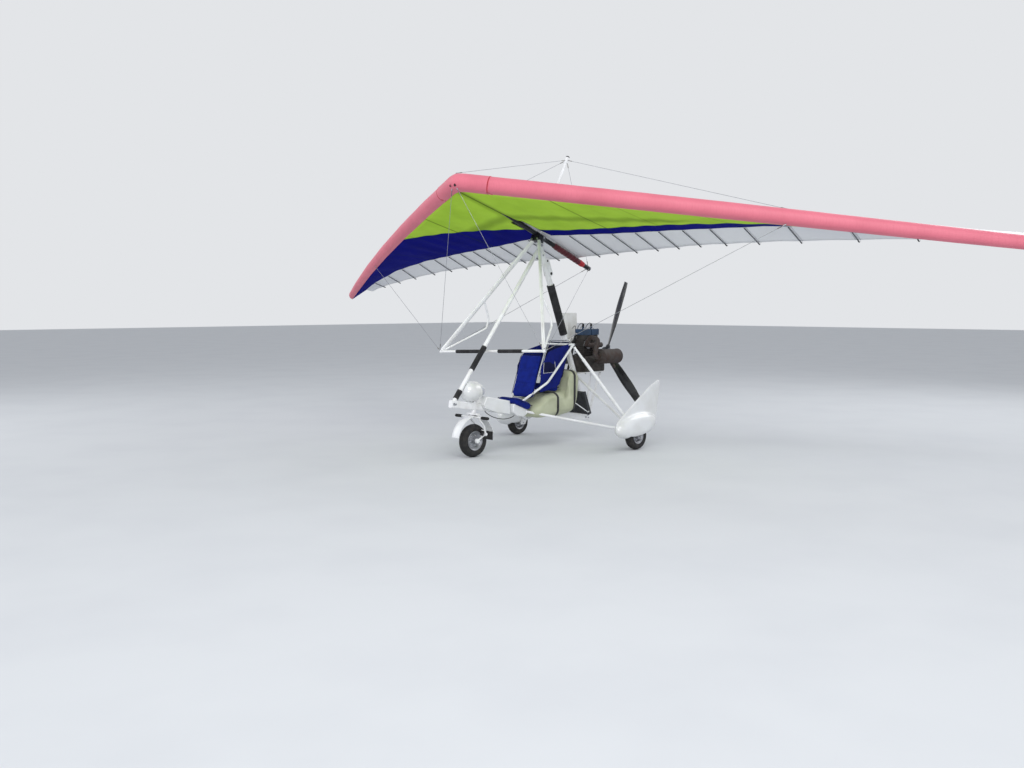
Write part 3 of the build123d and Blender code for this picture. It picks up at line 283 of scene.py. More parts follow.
# %% [markdown]
# ## Sailcloth, seat cloth and webbing
#
# The sail is coated polyester: a flat weave with a heavier ripstop thread every few millimetres,
# under a thin glaze that gives a soft shine. The seats are nylon without that glaze, so their
# blue is deep and matt. Both weaves are drawn coarser than real so that they don't shimmer, and
# long, low ripples in the bump keep a large panel from looking flat.

# %% Weave helpers
# A wave texture of scale 1 has a period of 2 pi / 20 metres
WAVE_SPAN = 2 * math.pi / 20
SAIL_WEAVE_MM, SAIL_RIPSTOP_MM = 4, 24
RIPPLE_MM = 420
THREAD_RISE = 0.15


def threads(tree, where, period_mm, axis, profile="SIN"):
    """Bands across one axis, one band to each thread. Its output."""
    made = add(tree, "TexWave", {"Vector": where, "Scale": WAVE_SPAN / (period_mm * MM)},
               bands_direction=axis, wave_profile=profile)
    return made.outputs["Fac"]


def crossed(tree, where, period_mm, axes=("X", "Y")):
    """Warp and weft together: high where two threads cross. Its output."""
    warp, weft = (threads(tree, where, period_mm, axis) for axis in axes)
    return maths(tree, "MULTIPLY", warp, weft)


def woven(key, name, clean, worn, patch, share, weave_mm, rough, sheen=0.0, axes=("X", "Y"),
          ripstop_mm=0, glaze=0.5):
    """A cloth: two sets of threads, worn patches, and every so often a heavier thread."""
    made, tree, shader, where = new_material(
        name, Sheen_Weight=sheen, Sheen_Roughness=0.4, Specular_IOR_Level=glaze)
    colour = mottled(tree, where, clean, worn, patch, share)
    cross = crossed(tree, where, weave_mm, axes)
    heights = [(cross, weave_mm * THREAD_RISE, 0.5)]
    if ripstop_mm:
        ribs = [threads(tree, where, ripstop_mm, axis, "SAW") for axis in axes]
        edge = ranged(tree, maths(tree, "MAXIMUM", *ribs), 0.88, 0.97)
        colour = layered(tree, colour, worn, maths(tree, "MULTIPLY", edge, 0.25))
        heights.append((edge, 0.4, 0.4))
    heights.append((noisy(tree, where, RIPPLE_MM, 1.5), 14, 0.35))
    tree.links.new(colour, shader.inputs["Base Color"])
    tree.links.new(ranged(tree, cross, 0.0, 1.0, rough, rough * 0.8), shader.inputs["Roughness"])
    bumped(tree, shader, heights)
    finishes[key] = made


print("threads every", SAIL_WEAVE_MM, "mm, ripstop every", SAIL_RIPSTOP_MM, "mm")

# %% [markdown]
# Each cloth is then one line: its colours, how it wears, its weave and its gloss.

# %% Woven finishes
SAIL = {"ripstop_mm": SAIL_RIPSTOP_MM}
SEAT = {"sheen": 0.05, "axes": ("X", "Z"), "glaze": 0.12}
# Sailcloth: a soft shine that slides over the panel, with a faint grid of heavier threads
woven("pink", "pink_coated_sailcloth", "#DE7486", "#C86072", 300, 0.35, SAIL_WEAVE_MM, 0.5, **SAIL)
woven("lime", "lime_coated_sailcloth", "#B2DC48", "#9DC838", 300, 0.35, SAIL_WEAVE_MM, 0.5, **SAIL)
woven("blue", "blue_coated_sailcloth", "#0A1894", "#070F76", 300, 0.4, SAIL_WEAVE_MM, 0.5, **SAIL)
woven("white", "white_coated_sailcloth", "#E6E7EA", "#C4C5C9", 320, 0.45, SAIL_WEAVE_MM, 0.5, **SAIL)
# Seat nylon: deep and matt, so the folds are told by shade alone
woven("seat_blue", "royal_blue_seat_nylon", "#10237F", "#0B185E", 60, 0.6, 4, 0.85, **SEAT)
woven("seat_side", "blue_web_nylon", "#101D70", "#0B1450", 60, 0.6, 4, 0.85, **SEAT)
woven("seat_navy", "navy_seat_nylon", "#11163C", "#0B0E28", 60, 0.6, 4, 0.85, **SEAT)
# Cord, webbing and sleeve cloth: fuzzy fibres that catch light along their edges
woven("piping", "white_piping_cord", "#E8E8EC", "#B9B9C0", 20, 0.5, 3, 0.7, 0.2)
woven("strap", "black_nylon_webbing", "#17171A", "#2E2E33", 25, 0.6, 4, 0.75, 0.2, ("X", "Z"))
woven("maroon", "maroon_sleeve_cloth", "#5A1020", "#420A17", 50, 0.6, 4, 0.8, 0.3)
woven("red", "red_sleeve_cloth", "#B3202C", "#8C1620", 50, 0.6, 4, 0.8, 0.3)
print("cloths made")

# %% [markdown]
# ## Rubber, rust, wire and the radiator
#
# Four finishes need a pattern of their own. Tyre rubber is dusty where it meets the ground, so it
# looks charcoal, not black. The muffler's mild steel has scaled from grey to brown, with darker
# pits. The rigging is stranded wire, so slanting bands glint along it. The radiator is a pack of
# thin fins, drawn as bands, which gives it a soft vertical grain.

# %% Patterned finishes
rubber, tree, shader, where = new_material("tyre_rubber", Roughness=0.8)
tree.links.new(mottled(tree, where, "#18181A", "#35322E", 45, 0.7), shader.inputs["Base Color"])
bumped(tree, shader, [(noisy(tree, where, 3, 3.0), 0.3, 0.7)])
finishes["rubber"] = rubber

rust, tree, shader, where = new_material("scaled_mild_steel", Metallic=0.35, Roughness=0.72)
scaled = mottled(tree, where, "#4A4443", "#402F27", 60, 0.9)
PIT_MM = 9
pits = add(tree, "TexVoronoi", {"Vector": where, "Scale": 1000 / PIT_MM, "Randomness": 1.0})
near = ranged(tree, pits.outputs["Distance"], 0.1, 0.5, 0.6, 0.0)
tree.links.new(layered(tree, scaled, "#33241D", near), shader.inputs["Base Color"])
bumped(tree, shader, [(noisy(tree, where, 5, 5.0), 0.5, 0.6)])
finishes["rust"] = rust

wire, tree, shader, where = new_material("stainless_stranded_wire", Metallic=1.0, Roughness=0.35)
tree.links.new(mottled(tree, where, "#A9ABB0", "#6F7176", 30, 0.5), shader.inputs["Base Color"])
bumped(tree, shader, [(threads(tree, where, 5, "DIAGONAL"), 0.4, 0.8)])
finishes["wire"] = wire

core, tree, shader, where = new_material("radiator_fins", Metallic=0.6, Roughness=0.5)
fins = threads(tree, where, 6, "Y")
dark = mottled(tree, where, "#1A1B1D", "#2C2D30", 40, 0.6)
tree.links.new(layered(tree, dark, "#4A4C50", fins), shader.inputs["Base Color"])
bumped(tree, shader, [(fins, 2.0, 0.8)])
finishes["core"] = core
print(len(finishes), "finishes in all")

# %% [markdown]
# ## Which CAD solid has which finish
#
# The rigid solids keep their CAD shape. A short table gives each its finish. The soft and the
# moulded ones are remade in later cells, and this table only covers them until then.

# %% Paint the CAD solids
NODE_FINISH = {
    "frame": "keel_beam mast front_strut seat_frame_top seat_frame_sides main_legs lower_struts fork "
             "engine_bed kingpost base_bar downtubes side_handles",
    "gelcoat": "wheel_fairing_left wheel_fairing_right leg_box instrument_pod mudguard seat_tray",
    "foam": "frame_padding bar_grips",
    "seat_blue": "front_seat_cushion front_seat_back rear_seat_cushion",
    "seat_navy": "rear_seat_back seat_web_left seat_web_right",
    "tank": "fuel_tank",
    "strap": "tank_straps",
    "core": "radiator",
    "alloy": "engine",
    "head": "cylinder_heads",
    "silencer": "intake_silencer",
    "rust": "exhaust",
    "prop": "propeller_blades",
    "hub": "propeller_hub hang_block",
    "rubber": "front_tyre rear_left_tyre rear_right_tyre",
    "rubber_hose": "mudguard_flap",
    "rim": "front_rim rear_left_rim rear_right_rim",
    # The keel and the apex bracket take the black tube finish; their black is partly painted shade round the
    # hang point
    "black_tube": "wing_keel apex_bracket",
    "batten": "battens",
    "wire": "rigging",
    "pink": "nose_cover leading_edge_left leading_edge_right",
    "white": "sail_left sail_right",
    "lime": "underside_front_left underside_front_right",
    "blue": "underside_rear_left underside_rear_right",
    "maroon": "keel_sleeve",
}
for key, names in NODE_FINISH.items():
    for name in names.split():
        paint(nodes[name], finishes[key])
print(sum(len(names.split()) for names in NODE_FINISH.values()), "solids painted")

# %% [markdown]
# ## Pieces from bent grids
#
# Almost every soft or moulded form here is one grid that is bent into place: a function says
# where each corner of the grid goes, as it might for a pattern cut from cloth. If the grid's sides
# meet, as on a hose or a cushion, they are merged and the ends are closed, so that it is one
# skin. The grid's own u and v, in metres, go into its UV map.

# %% Mesh helpers


def settle(name, bm, material, body, recalc=True):
    """Turn a bmesh into a smooth piece that rides on a body. material is one, or a list of them."""
    if recalc:
        bmesh.ops.recalc_face_normals(bm, faces=bm.faces)
    mesh = bpy.data.meshes.new(name)
    bm.to_mesh(mesh)
    bm.free()
    for face in mesh.polygons:
        face.use_smooth = True
    piece = bpy.data.objects.new(name, mesh)
    bpy.context.scene.collection.objects.link(piece)
    for made in (material if isinstance(material, list) else [material]):
        mesh.materials.append(made)
    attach(piece, body)
    return piece


def grid_into(bm, across, along, place, size=(1.0, 1.0), closed=False, flip=False):
    """Bend a grid into a bmesh. place(u, v) gives each corner, with u across and v along."""
    uv = bm.loops.layers.uv.verify()
    before = set(bm.faces)
    made = bmesh.ops.create_grid(bm, x_segments=across, y_segments=along, size=0.5)["verts"]
    spots = {vert: (vert.co.x + 0.5, vert.co.y + 0.5) for vert in made}
    faces = [face for face in bm.faces if face not in before]
    for face in faces:
        for loop in face.loops:
            u, v = spots[loop.vert]
            loop[uv].uv = (u * size[0], v * size[1])
    for vert, (u, v) in spots.items():
        vert.co = place(u, v)
    if flip:
        bmesh.ops.reverse_faces(bm, faces=faces)
    if closed:
        bmesh.ops.remove_doubles(bm, verts=made, dist=1e-6)
        edges = {edge for face in faces if face.is_valid for edge in face.edges if edge.is_boundary}
        bmesh.ops.holes_fill(bm, edges=list(edges), sides=0)


def area_of(bm):
    """The area of a bmesh in square metres."""
    return sum(face.calc_area() for face in bm.faces)


def face_sheet(bm, up):
    """Turn a sheet over if it doesn't face up, or down where up is -1."""
    bm.normal_update()
    if up * sum(face.normal.z for face in bm.faces) < 0:
        bmesh.ops.reverse_faces(bm, faces=bm.faces)


def relax(bm):
    """Move each corner half way to the middle of its neighbours, once."""
    bmesh.ops.smooth_vert(bm, verts=bm.verts, factor=0.5, use_axis_x=True, use_axis_y=True, use_axis_z=True)


print("grids can be bent")

# %% [markdown]
# A few modifiers and shading steps come up again and again, so each has a helper. All of them can
# still be changed in the editor, because nothing is applied to the mesh.

# %% Finishing helpers
SHARP_DEG = 40


def harden(piece, angle_deg=SHARP_DEG):
    """Keep edges sharp where faces meet at more than an angle, and smooth the rest."""
    piece.data.set_sharp_from_angle(angle=math.radians(angle_deg))


def thicken(piece, thick_mm, offset=-1.0):
    """Give a sheet its thickness."""
    made = piece.modifiers.new("thickness", "SOLIDIFY")
    made.thickness = thick_mm * MM
    made.offset = offset


def soften(piece, width_mm):
    """Round a piece's sharp edges."""
    made = piece.modifiers.new("rounded_edges", "BEVEL")
    made.width = width_mm * MM
    made.segments = 2
    made.limit_method = "ANGLE"
    made.angle_limit = math.radians(SHARP_DEG)
    made.harden_normals = False


print("finishing helpers ready")

# %% [markdown]
# ## Hoses and bolts
#
# A hose is a grid too: a smooth curve runs through a few points, and a ring turns round it with
# no twist. A bolt is what holds nearly everything on a trike: a hexagon on a washer, made from
# two cones, one of twenty sides and one of six.

# %% Hoses and bolts
# The ring starts from this slanted direction, which few hoses run along
HOSE_UP = (0.13, 0.31, 0.94)
LOOK_AHEAD = 0.01
WASHER_MM = 1.6


def curve_between(a, b, c, d, t):
    """A point between b and c on the smooth curve that goes through all four."""
    return 0.5 * (2 * b + (c - a) * t + (2 * a - 5 * b + 4 * c - d) * t ** 2
                  + (3 * b - a - 3 * c + d) * t ** 3)


def spline(points, share):
    """A smooth curve through points, read at a share of its length from 0 to 1."""
    spans = len(points) - 1
    at = min(int(share * spans), spans - 1)
    t = share * spans - at
    return curve_between(points[max(at - 1, 0)], points[at], points[at + 1], points[min(at + 2, spans)], t)


def hose_into(bm, points, radius, sides, steps, straight=False):
    """A round hose, wire or cord through points given in metres, with its radius in mm."""
    points = [Vector(point) for point in points]
    frames = []
    up = Vector(HOSE_UP)
    for i in range(steps + 1):
        share = i / steps
        if straight:
            spot = points[0].lerp(points[-1], share)
            ahead = points[-1] - points[0]
        else:
            spot = spline(points, share)
            ahead = spline(points, min(share + LOOK_AHEAD, 1)) - spline(points, max(share - LOOK_AHEAD, 0))
        ahead.normalize()
        if abs(up.dot(ahead)) > 0.95:
            up = ahead.orthogonal()
        side = up.cross(ahead).normalized()
        up = ahead.cross(side).normalized()
        frames.append((spot, side, up))

    def place(u, v):
        spot, side, over = frames[round(v * steps)]
        turn = 2 * math.pi * u
        return spot + side * (radius * MM * math.cos(turn)) + over * (radius * MM * math.sin(turn))

    length = (points[-1] - points[0]).length
    grid_into(bm, sides, steps, place, (2 * math.pi * 0.01, length), closed=True)


def bolt_into(bm, spot, axis, across_mm, head_mm, washer_mm):
    """A hexagon head on a washer, at a spot and along an axis, both in the model's frame."""
    turn = Vector(axis).to_track_quat("Z", "Y").to_matrix().to_4x4()
    place = Matrix.Translation(spot) @ turn
    washer = (20, washer_mm / 2, 0.0, WASHER_MM)
    head = (6, across_mm / 2 * 1.15, WASHER_MM, WASHER_MM + head_mm)
    for sides, radius, low, high in (washer, head):
        bmesh.ops.create_cone(
            bm, cap_ends=True, segments=sides, radius1=radius * MM, radius2=radius * 0.94 * MM,
            depth=(high - low) * MM, matrix=place @ Matrix.Translation((0, 0, (high + low) / 2 * MM)))


print("hoses and bolts ready")

# %% [markdown]
# ## The sail's measures
#
# A flexwing's sail is cut flat and pulled to shape by its battens. At any distance out from the
# keel it needs six numbers: where the two layers of cloth join behind the leading edge, where the
# trailing edge is, and how fat the leading edge pocket is. They are the CAD model's own stations.

# %% Sail measures
NOSE_X = 1356.0
NOSE_HALF_ANGLE = math.radians(62.8)
TIP_Y = 4760.0
BOW = 107.0
KEEL_TUBE_Z = 90.0
TIP_DROP = 15.0
LEAD_SAG = 42.0
SKIN = 5.0
UNDERSKIN = 3.0
STATIONS = (
    # y, rear edge of the double surface x and z, trailing edge x and z, leading edge radius
    (0.0, -40.0, 130.0, -650.0, 132.0, 84.0),
    (820.0, -165.0, 134.0, -632.0, 136.0, 82.0),
    (1600.0, -285.0, 155.0, -645.0, 146.0, 79.0),
    (2420.0, -450.0, 186.0, -755.0, 162.0, 75.0),
    (3280.0, -690.0, 214.0, -945.0, 190.0, 69.0),
    (4150.0, -1010.0, 216.0, -1195.0, 232.0, 62.0),
    (TIP_Y, -1312.0, 246.0, -1440.0, 275.0, 55.0),
)
BATTEN_Y = (300.0, 560.0, 820.0, 1090.0, 1350.0, 1610.0, 1890.0, 2230.0, 2640.0, 3160.0, 3660.0, 4200.0)


def lead(y):
    """Centre of the leading edge at a distance out, bowed back by the sail's pull."""
    out = abs(y) / TIP_Y
    bend = 4 * out * (1 - out)
    return (NOSE_X - abs(y) / math.tan(NOSE_HALF_ANGLE) + BOW * bend,
            KEEL_TUBE_Z - TIP_DROP * out - LEAD_SAG * bend)


def stations_about(y):
    """The station on each side of a distance out, and the share of the way between them."""
    for inner, outer in zip(STATIONS, STATIONS[1:]):
        if abs(y) <= outer[0]:
            break
    return inner, outer, (abs(y) - inner[0]) / (outer[0] - inner[0])


def station(y):
    """The sail's measures at any distance out: straight lines between the stations."""
    inner, outer, share = stations_about(y)
    return tuple(a + (b - a) * share for a, b in zip(inner, outer))


def pocket(y):
    """Middle of the leading edge pocket: straight between the stations, as the CAD pocket is."""
    inner, outer, share = stations_about(y)
    (xa, za), (xb, zb) = lead(inner[0]), lead(outer[0])
    return xa + (xb - xa) * share, za + (zb - za) * share


print("root chord", round(lead(0)[0] - STATIONS[0][3]), "mm, tip chord",
      round(lead(TIP_Y)[0] - STATIONS[-1][3]), "mm")

# %% [markdown]
# ## The upper skin's line
#
# Seen from the side, the upper skin rises on an arc to a crest some way behind the leading edge,
# falls on two more arcs and runs flat over the single-surface part. Arcs that meet in the same
# direction give a line with no corner, as battens do that are bent over a former. The points of
# a section are complex numbers here, because multiplying by one turns the other.

# %% Upper skin's line
CREST_SHARE = 0.30
CREST_RISE = 0.045
LIP = 0.5
AHEAD_STEPS, ARC_STEPS, FLAT_STEPS = 8, 6, 6


def arc(start, along, end, count):
    """Points of the arc that leaves start in a direction and meets end, and its last direction."""
    chord = end - start
    turn = math.atan2((chord / along).imag, (chord / along).real)
    points = []
    for i in range(count + 1):
        s = i / count
        reach = math.sin(turn * s) / math.sin(turn) if abs(turn) > 1e-6 else s
        heading = along * complex(math.cos(turn * s), math.sin(turn * s))
        points.append(start + heading * abs(chord) * reach)
    return points, along * complex(math.cos(2 * turn), math.sin(2 * turn))


def upper_line(y):
    """The upper skin from the pocket's top, over the crest, to the trailing edge."""
    x, z = pocket(y)
    _, rear_x, rear_z, tail_x, tail_z, r = station(y)
    front = complex(x - r * LIP, z + r)
    joint = complex(rear_x, rear_z + UNDERSKIN + SKIN)
    tail = complex(tail_x, tail_z + SKIN)
    chord = x - tail_x
    crest = front + (joint - front) * (CREST_SHARE * chord / (front.real - joint.real))
    crest += CREST_RISE * 1j * chord
    middle = (crest + joint) / 2
    level = (joint - front) / abs(joint - front)
    ahead, _ = arc(crest, -level, front, AHEAD_STEPS)
    rise, heading = arc(crest, level, middle, ARC_STEPS)
    fall, _ = arc(middle, heading, joint, ARC_STEPS)
    flat = [joint + (tail - joint) * i / FLAT_STEPS for i in range(FLAT_STEPS + 1)]
    return ahead[::-1] + rise[1:] + fall[1:] + flat[1:]


def batten_span(y, last=TIP_Y):
    """Which two battens a place lies between, and the share of the way from one to the next."""
    stops = (0.0,) + BATTEN_Y + (last,)
    for number, (inner, outer) in enumerate(zip(stops, stops[1:])):
        if abs(y) <= outer:
            return number, (abs(y) - inner) / (outer - inner)
    return len(BATTEN_Y), 0.0


def between_battens(y):
    """0 on a batten and 1 midway between two."""
    return math.sin(math.pi * batten_span(y)[1]) ** 2


UPPER_STEPS = AHEAD_STEPS + 2 * ARC_STEPS + FLAT_STEPS
print(len(upper_line(0.0)), "points in a section,", len(BATTEN_Y), "battens a side")

# %% [markdown]
# ## Upper skins
#
# Each half of the sail's top is one sheet, stretched from the leading edge pocket over the
# battens to the trailing edge. Between two battens the cloth lifts a little and its rear edge
# scallops in, so the sheet is drawn with a fine grid and moved a few millimetres where it is free.
# Each batten lies in a sewn pocket. The vertices count the battens from the keel out, 0, 1, 2 and
# so on with fractions between, so a pocket and its two rows of stitches lie at each whole number.
# Each row of stitches is drawn as a grey line, which is painted shade along the pocket's edge.

# %% White cloth with the battens' pockets
POCKET_HALF, SEAM_AT = 0.042, 0.040
PAST_TIP = 200.0


def pocketed():
    """White cloth with a soft shine, a raised pocket and two stitched seams along each batten, the seams
    darkened with painted shade.
    """
    made, tree, shader, where = new_material("white_coated_sailcloth_with_pockets", Roughness=0.5)
    white = mottled(tree, where, "#ECEDEF", "#DCDDE1", 900, 0.4)
    off = maths(tree, "PINGPONG", noted(tree, "batten_no"))
    raised = ranged(tree, off, POCKET_HALF, POCKET_HALF + 0.014, 1.0, 0.0)
    from_seam = maths(tree, "ABSOLUTE", maths(tree, "SUBTRACT", off, SEAM_AT))
    # Stitched seams: a groove in the bump, and a grey line that is painted shade along the pocket's edge
    seams_and_shade = ranged(tree, from_seam, 0.004, 0.010, 0.55, 0.0)
    tree.links.new(layered(tree, white, "#8D9098", seams_and_shade), shader.inputs["Base Color"])
    cross = crossed(tree, where, SAIL_WEAVE_MM)
    ripple = noisy(tree, where, RIPPLE_MM, 1.5)
    bumped(tree, shader, [(cross, 0.6, 0.4), (raised, 3.0, 0.7), (seams_and_shade, -1.0, 0.6), (ripple, 8, 0.25)])
    return made


def batten_count(y):
    """How many battens out from the keel a place is, with a fraction between two of them."""
    number, share = batten_span(y, TIP_Y + PAST_TIP)
    return number + share


finishes["pocketed"] = pocketed()
print("pockets in the cloth, the outermost at", BATTEN_Y[-1], "mm")

# %% [markdown]
# The grid is dense along the span, so that the billow between two battens has six rows or more.
# The cloth lifts most in its middle and not at all at its two edges, and only its rear scallops.

# %% Upper skins
ROWS = 170
BILLOW = 5.0
SCALLOP = 9.0
CLOTH_MM = 1.5
for side, name in ((1, "left"), (-1, "right")):
    lines = [upper_line(TIP_Y * i / ROWS) for i in range(ROWS + 1)]

    def place(u, v, lines=lines, side=side):
        y = TIP_Y * v
        spot = lines[round(v * ROWS)][round(u * UPPER_STEPS)]
        free = between_battens(y)
        lift = BILLOW * free * math.sin(math.pi * min(1.0, u * 1.05))
        pull = SCALLOP * free * max(0.0, (u - 0.85) / 0.15)
        return on_wing(spot.real + pull, side * y, spot.imag + lift)

    bm = bmesh.new()
    count = bm.verts.layers.float.new("batten_no")
    grid_into(bm, UPPER_STEPS, ROWS, place, (2.1, 4.76), flip=side > 0)
    for vert in bm.verts:
        vert[count] = batten_count((WING_BACK @ vert.co).y / MM)
    face_sheet(bm, 1)
    area_of(bm)
    sail = settle(f"upper_skin_{name}", bm, finishes["pocketed"], "wing", recalc=False)
    thicken(sail, CLOTH_MM)
    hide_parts(f"sail_{name}")

# %% [markdown]
# ## Undersides
#
# The lower cloth runs from the leading edge pocket back to the join. The colour changes at a
# sewn seam that curves across the wing, lime ahead and blue behind. Each vertex notes how far it
# is from that seam, so the edge between the colours is crisp at any grid size, and the same
# numbers draw the stitched lap beside it. A few dark lines are the ribs' pockets, and a broad soft
# band is the crossbar inside the wing: both show on the real one as shadows through the cloth.

# %% Two-coloured cloth
COLOUR_LINE = (
    # x and y of the seam between the lime and the blue cloth, port to starboard
    (-340, 5000), (-316, 3795), (-154, 2473), (-27, 1436), (73, 345),
    (216, -110), (365, -584), (477, -1125), (572, -1723), (640, -2200), (700, -2700),
)


def seam_x(y):
    """Where the colour seam lies at a distance out to port, in mm."""
    for (xa, ya), (xb, yb) in zip(COLOUR_LINE, COLOUR_LINE[1:]):
        if yb <= y <= ya:
            return xa + (xb - xa) * (y - ya) / (yb - ya)
    return COLOUR_LINE[-1][0] if y < 0 else COLOUR_LINE[0][0]


def two_coloured():
    """Matt lime cloth ahead of the seam and blue behind it, with the seam's lap and the shadows."""
    made, tree, shader, where = new_material(
        "lime_and_blue_coated_sailcloth", Roughness=0.85, Specular_IOR_Level=0.05)
    lime = mottled(tree, where, "#B6DE4A", "#9FC83A", 320, 0.5)
    blue = mottled(tree, where, "#050C7C", "#03085E", 320, 0.5)
    seam = noted(tree, "seam_mm")
    ahead = maths(tree, "GREATER_THAN", seam, 0.0)
    lap = ranged(tree, maths(tree, "ABSOLUTE", seam), 9.0, 12.0, 0.55, 0.0)
    colour = layered(tree, mixed(tree, ahead, blue, lime), "#1F3A1A", lap)
    rib = ranged(tree, noted(tree, "rib_mm"), 7.0, 16.0, 0.6, 0.0)
    colour = layered(tree, colour, "#20301A", rib)
    tube = ranged(tree, noted(tree, "tube_mm"), 10.0, 130.0, 0.42, 0.0, interpolation_type="SMOOTHSTEP")
    colour = layered(tree, colour, "#3C5A1A", maths(tree, "MULTIPLY", tube, ahead))
    tree.links.new(colour, shader.inputs["Base Color"])
    cross = crossed(tree, where, SAIL_WEAVE_MM)
    ripple = noisy(tree, where, RIPPLE_MM, 1.5)
    bumped(tree, shader, [(cross, 0.6, 0.4), (lap, 1.2, 0.6), (rib, 1.5, 0.5), (ripple, 14, 0.35)])
    return made


finishes["two_coloured"] = two_coloured()
print("colour seam at the keel:", round(seam_x(0)), "mm ahead of the bolt")

# %% [markdown]
# The sheet sags a little between its ribs. Round the hang block it is left open, as the real
# cloth is, so that the block and the control frame's top can be reached.

# %% Undersides
RIB_Y = (0.0, 900.0, 1500.0, 2250.0, 3100.0)
UNDER_STEPS = 22
UNDER_SAG = 9.0
UNDER_SCALLOP = 7.0
HANG_HOLE_HALF, HANG_HOLE_REAR, HANG_HOLE_FRONT = 75, -60, 430
CROSSBAR_X = 575.0
CROSSBAR_SLOPE = 0.275
CROSSBAR_FADE = 1700.0


def under_tube(x, y):
    """How far a place is from the crossbar's shade or, near the middle, from the keel's, in mm."""
    crossbar = abs(x - CROSSBAR_X + CROSSBAR_SLOPE * abs(y)) + 0.3 * max(0.0, abs(y) - CROSSBAR_FADE)
    return min(crossbar, 1.5 * abs(y))


for side, name in ((1, "left"), (-1, "right")):
    def place(u, v, side=side):
        y = TIP_Y * v
        x, z = pocket(y)
        _, rear_x, rear_z, _, _, r = station(y)
        front_x, front_z = x - r * LIP, z - r
        free = between_battens(y)
        sag = -UNDER_SAG * free * math.sin(math.pi * u) ** 0.8
        pull = UNDER_SCALLOP * free * max(0.0, (u - 0.9) / 0.1)
        x = front_x + (rear_x - front_x) * u + pull
        z = front_z + (rear_z - front_z) * u + sag
        return Vector((x, side * y, z))

    bm = bmesh.new()
    seam, rib, tube = (bm.verts.layers.float.new(key) for key in ("seam_mm", "rib_mm", "tube_mm"))
    grid_into(bm, UNDER_STEPS, ROWS, place, (1.4, 4.76))
    for vert in list(bm.verts):
        x, y, _ = vert.co
        if abs(y) < HANG_HOLE_HALF and HANG_HOLE_REAR < x < HANG_HOLE_FRONT:
            bm.verts.remove(vert)
            continue
        vert[seam] = x - seam_x(y)
        vert[rib] = min(abs(abs(y) - stop) for stop in RIB_Y)
        vert[tube] = under_tube(x, y)
        vert.co = on_wing(*vert.co)
    face_sheet(bm, -1)
    area_of(bm)
    underside = settle(f"underside_{name}", bm, finishes["two_coloured"], "wing", recalc=False)
    thicken(underside, CLOTH_MM)
    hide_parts(f"underside_front_{name}", f"underside_rear_{name}")

# %% [markdown]
# ## Leading edges
#
# The pink pocket is a tube of cloth over the leading edge tube, with a foam lining that keeps it
# round. It is closed behind, where the two skins are sewn to it, so its section is half a circle
# with two straight lips and a flat back. A slow noise gives the cloth its shallow folds.

# %% Leading edges
AROUND = 28
POCKET_FROM_Y = 92.0
FOLD_MM = 1.4


def pocket_ring(u, y, grow=0.0):
    """A point round the pocket: half a circle in front, straight lips and a flat back."""
    x, z = pocket(y)
    r = station(y)[5] + grow
    back = r * LIP
    run = u * (math.pi * r + 2 * back + 2 * r)
    if run < back:
        return x - back + run, z - r
    run -= back
    if run < math.pi * r:
        turn = run / r
        return x + r * math.sin(turn), z - r * math.cos(turn)
    run -= math.pi * r
    if run < back:
        return x - run, z + r
    run -= back
    return x - back, z + r - run


for side, name in ((1, "left"), (-1, "right")):
    def place(u, v, side=side):
        y = POCKET_FROM_Y + (TIP_Y - POCKET_FROM_Y) * v
        x, z = pocket_ring(u, y)
        fold = FOLD_MM * noise.noise((u * 6, y * 0.006, side * 3.0)) if u < 0.7 else 0.0
        return on_wing(x + fold, side * y, z + fold * 0.6)

    bm = bmesh.new()
    grid_into(bm, AROUND, 90, place, (0.45, 5.2), closed=True)
    edge = settle(f"leading_edge_cloth_{name}", bm, finishes["pink"], "wing")
    harden(edge, 50)
    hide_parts(f"leading_edge_{name}")
print("leading edges", round(2 * TIP_Y * MM, 2), "m from tip to tip")

# %% [markdown]
# ## Nose cap
#
# The nose cover is a separate cap that laps over both pockets and is laced underneath, so it
# stands a little proud. It is the pocket's own section, swept round the apex and cut square to the
# pockets. The last strip of faces at each end is the hem, which stands prouder; it is given the
# darker red cloth as painted shade along the cap's edge.

# %% Nose cap
NOSE_REACH = 330.0
NOSE_ROWS = 72
HEM_WIDE = 14.0
HEM_PROUD, CAP_PROUD = 4.5, 2.8
APEX = 112.0
APEX_BLUNT = 18.0
SWEEP = 1 / math.tan(NOSE_HALF_ANGLE)


def nose_place(u, v):
    """The pocket's section round the apex, cut square to the pocket at the cap's ends."""
    y = NOSE_REACH * (2 * v - 1)
    share = abs(y) / NOSE_REACH
    grow = HEM_PROUD if NOSE_REACH - abs(y) < HEM_WIDE else CAP_PROUD
    x, z = pocket_ring(u, y, grow)
    y += math.copysign(SWEEP * share * (x - pocket(y)[0]), y)
    x, z = pocket_ring(u, y, grow)
    bend = APEX_BLUNT * max(0.0, 1 - abs(y) / APEX) ** 2
    return on_wing(x - bend, y, z)


bm = bmesh.new()
grid_into(bm, AROUND, NOSE_ROWS, nose_place, (0.45, 0.75), closed=True)
# The hem's strip takes the second material, the darker red cloth: painted shade along the cap's edge
for face in bm.faces:
    spot = WING_BACK @ face.calc_center_median() / MM
    along = abs(spot.y) - SWEEP * (spot.x - pocket(spot.y)[0])
    if NOSE_REACH - HEM_WIDE < along < NOSE_REACH - 1:
        face.material_index = 1
nose = settle("nose_cap", bm, [finishes["pink"], finishes["red"]], "wing")
harden(nose, 50)
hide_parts("nose_cover")
print("nose cap made,", len(nose.data.polygons), "faces")

# %% [markdown]
# ## Seat pads
#
# The two seats are nylon covers sewn round foam slabs. Each pad starts as a slab with rounded
# edges, a little smaller than the CAD solid. It lies flat in a frame of its own, with x along the
# pad, y across it and z out of its sitting face, because that makes every later step simple.

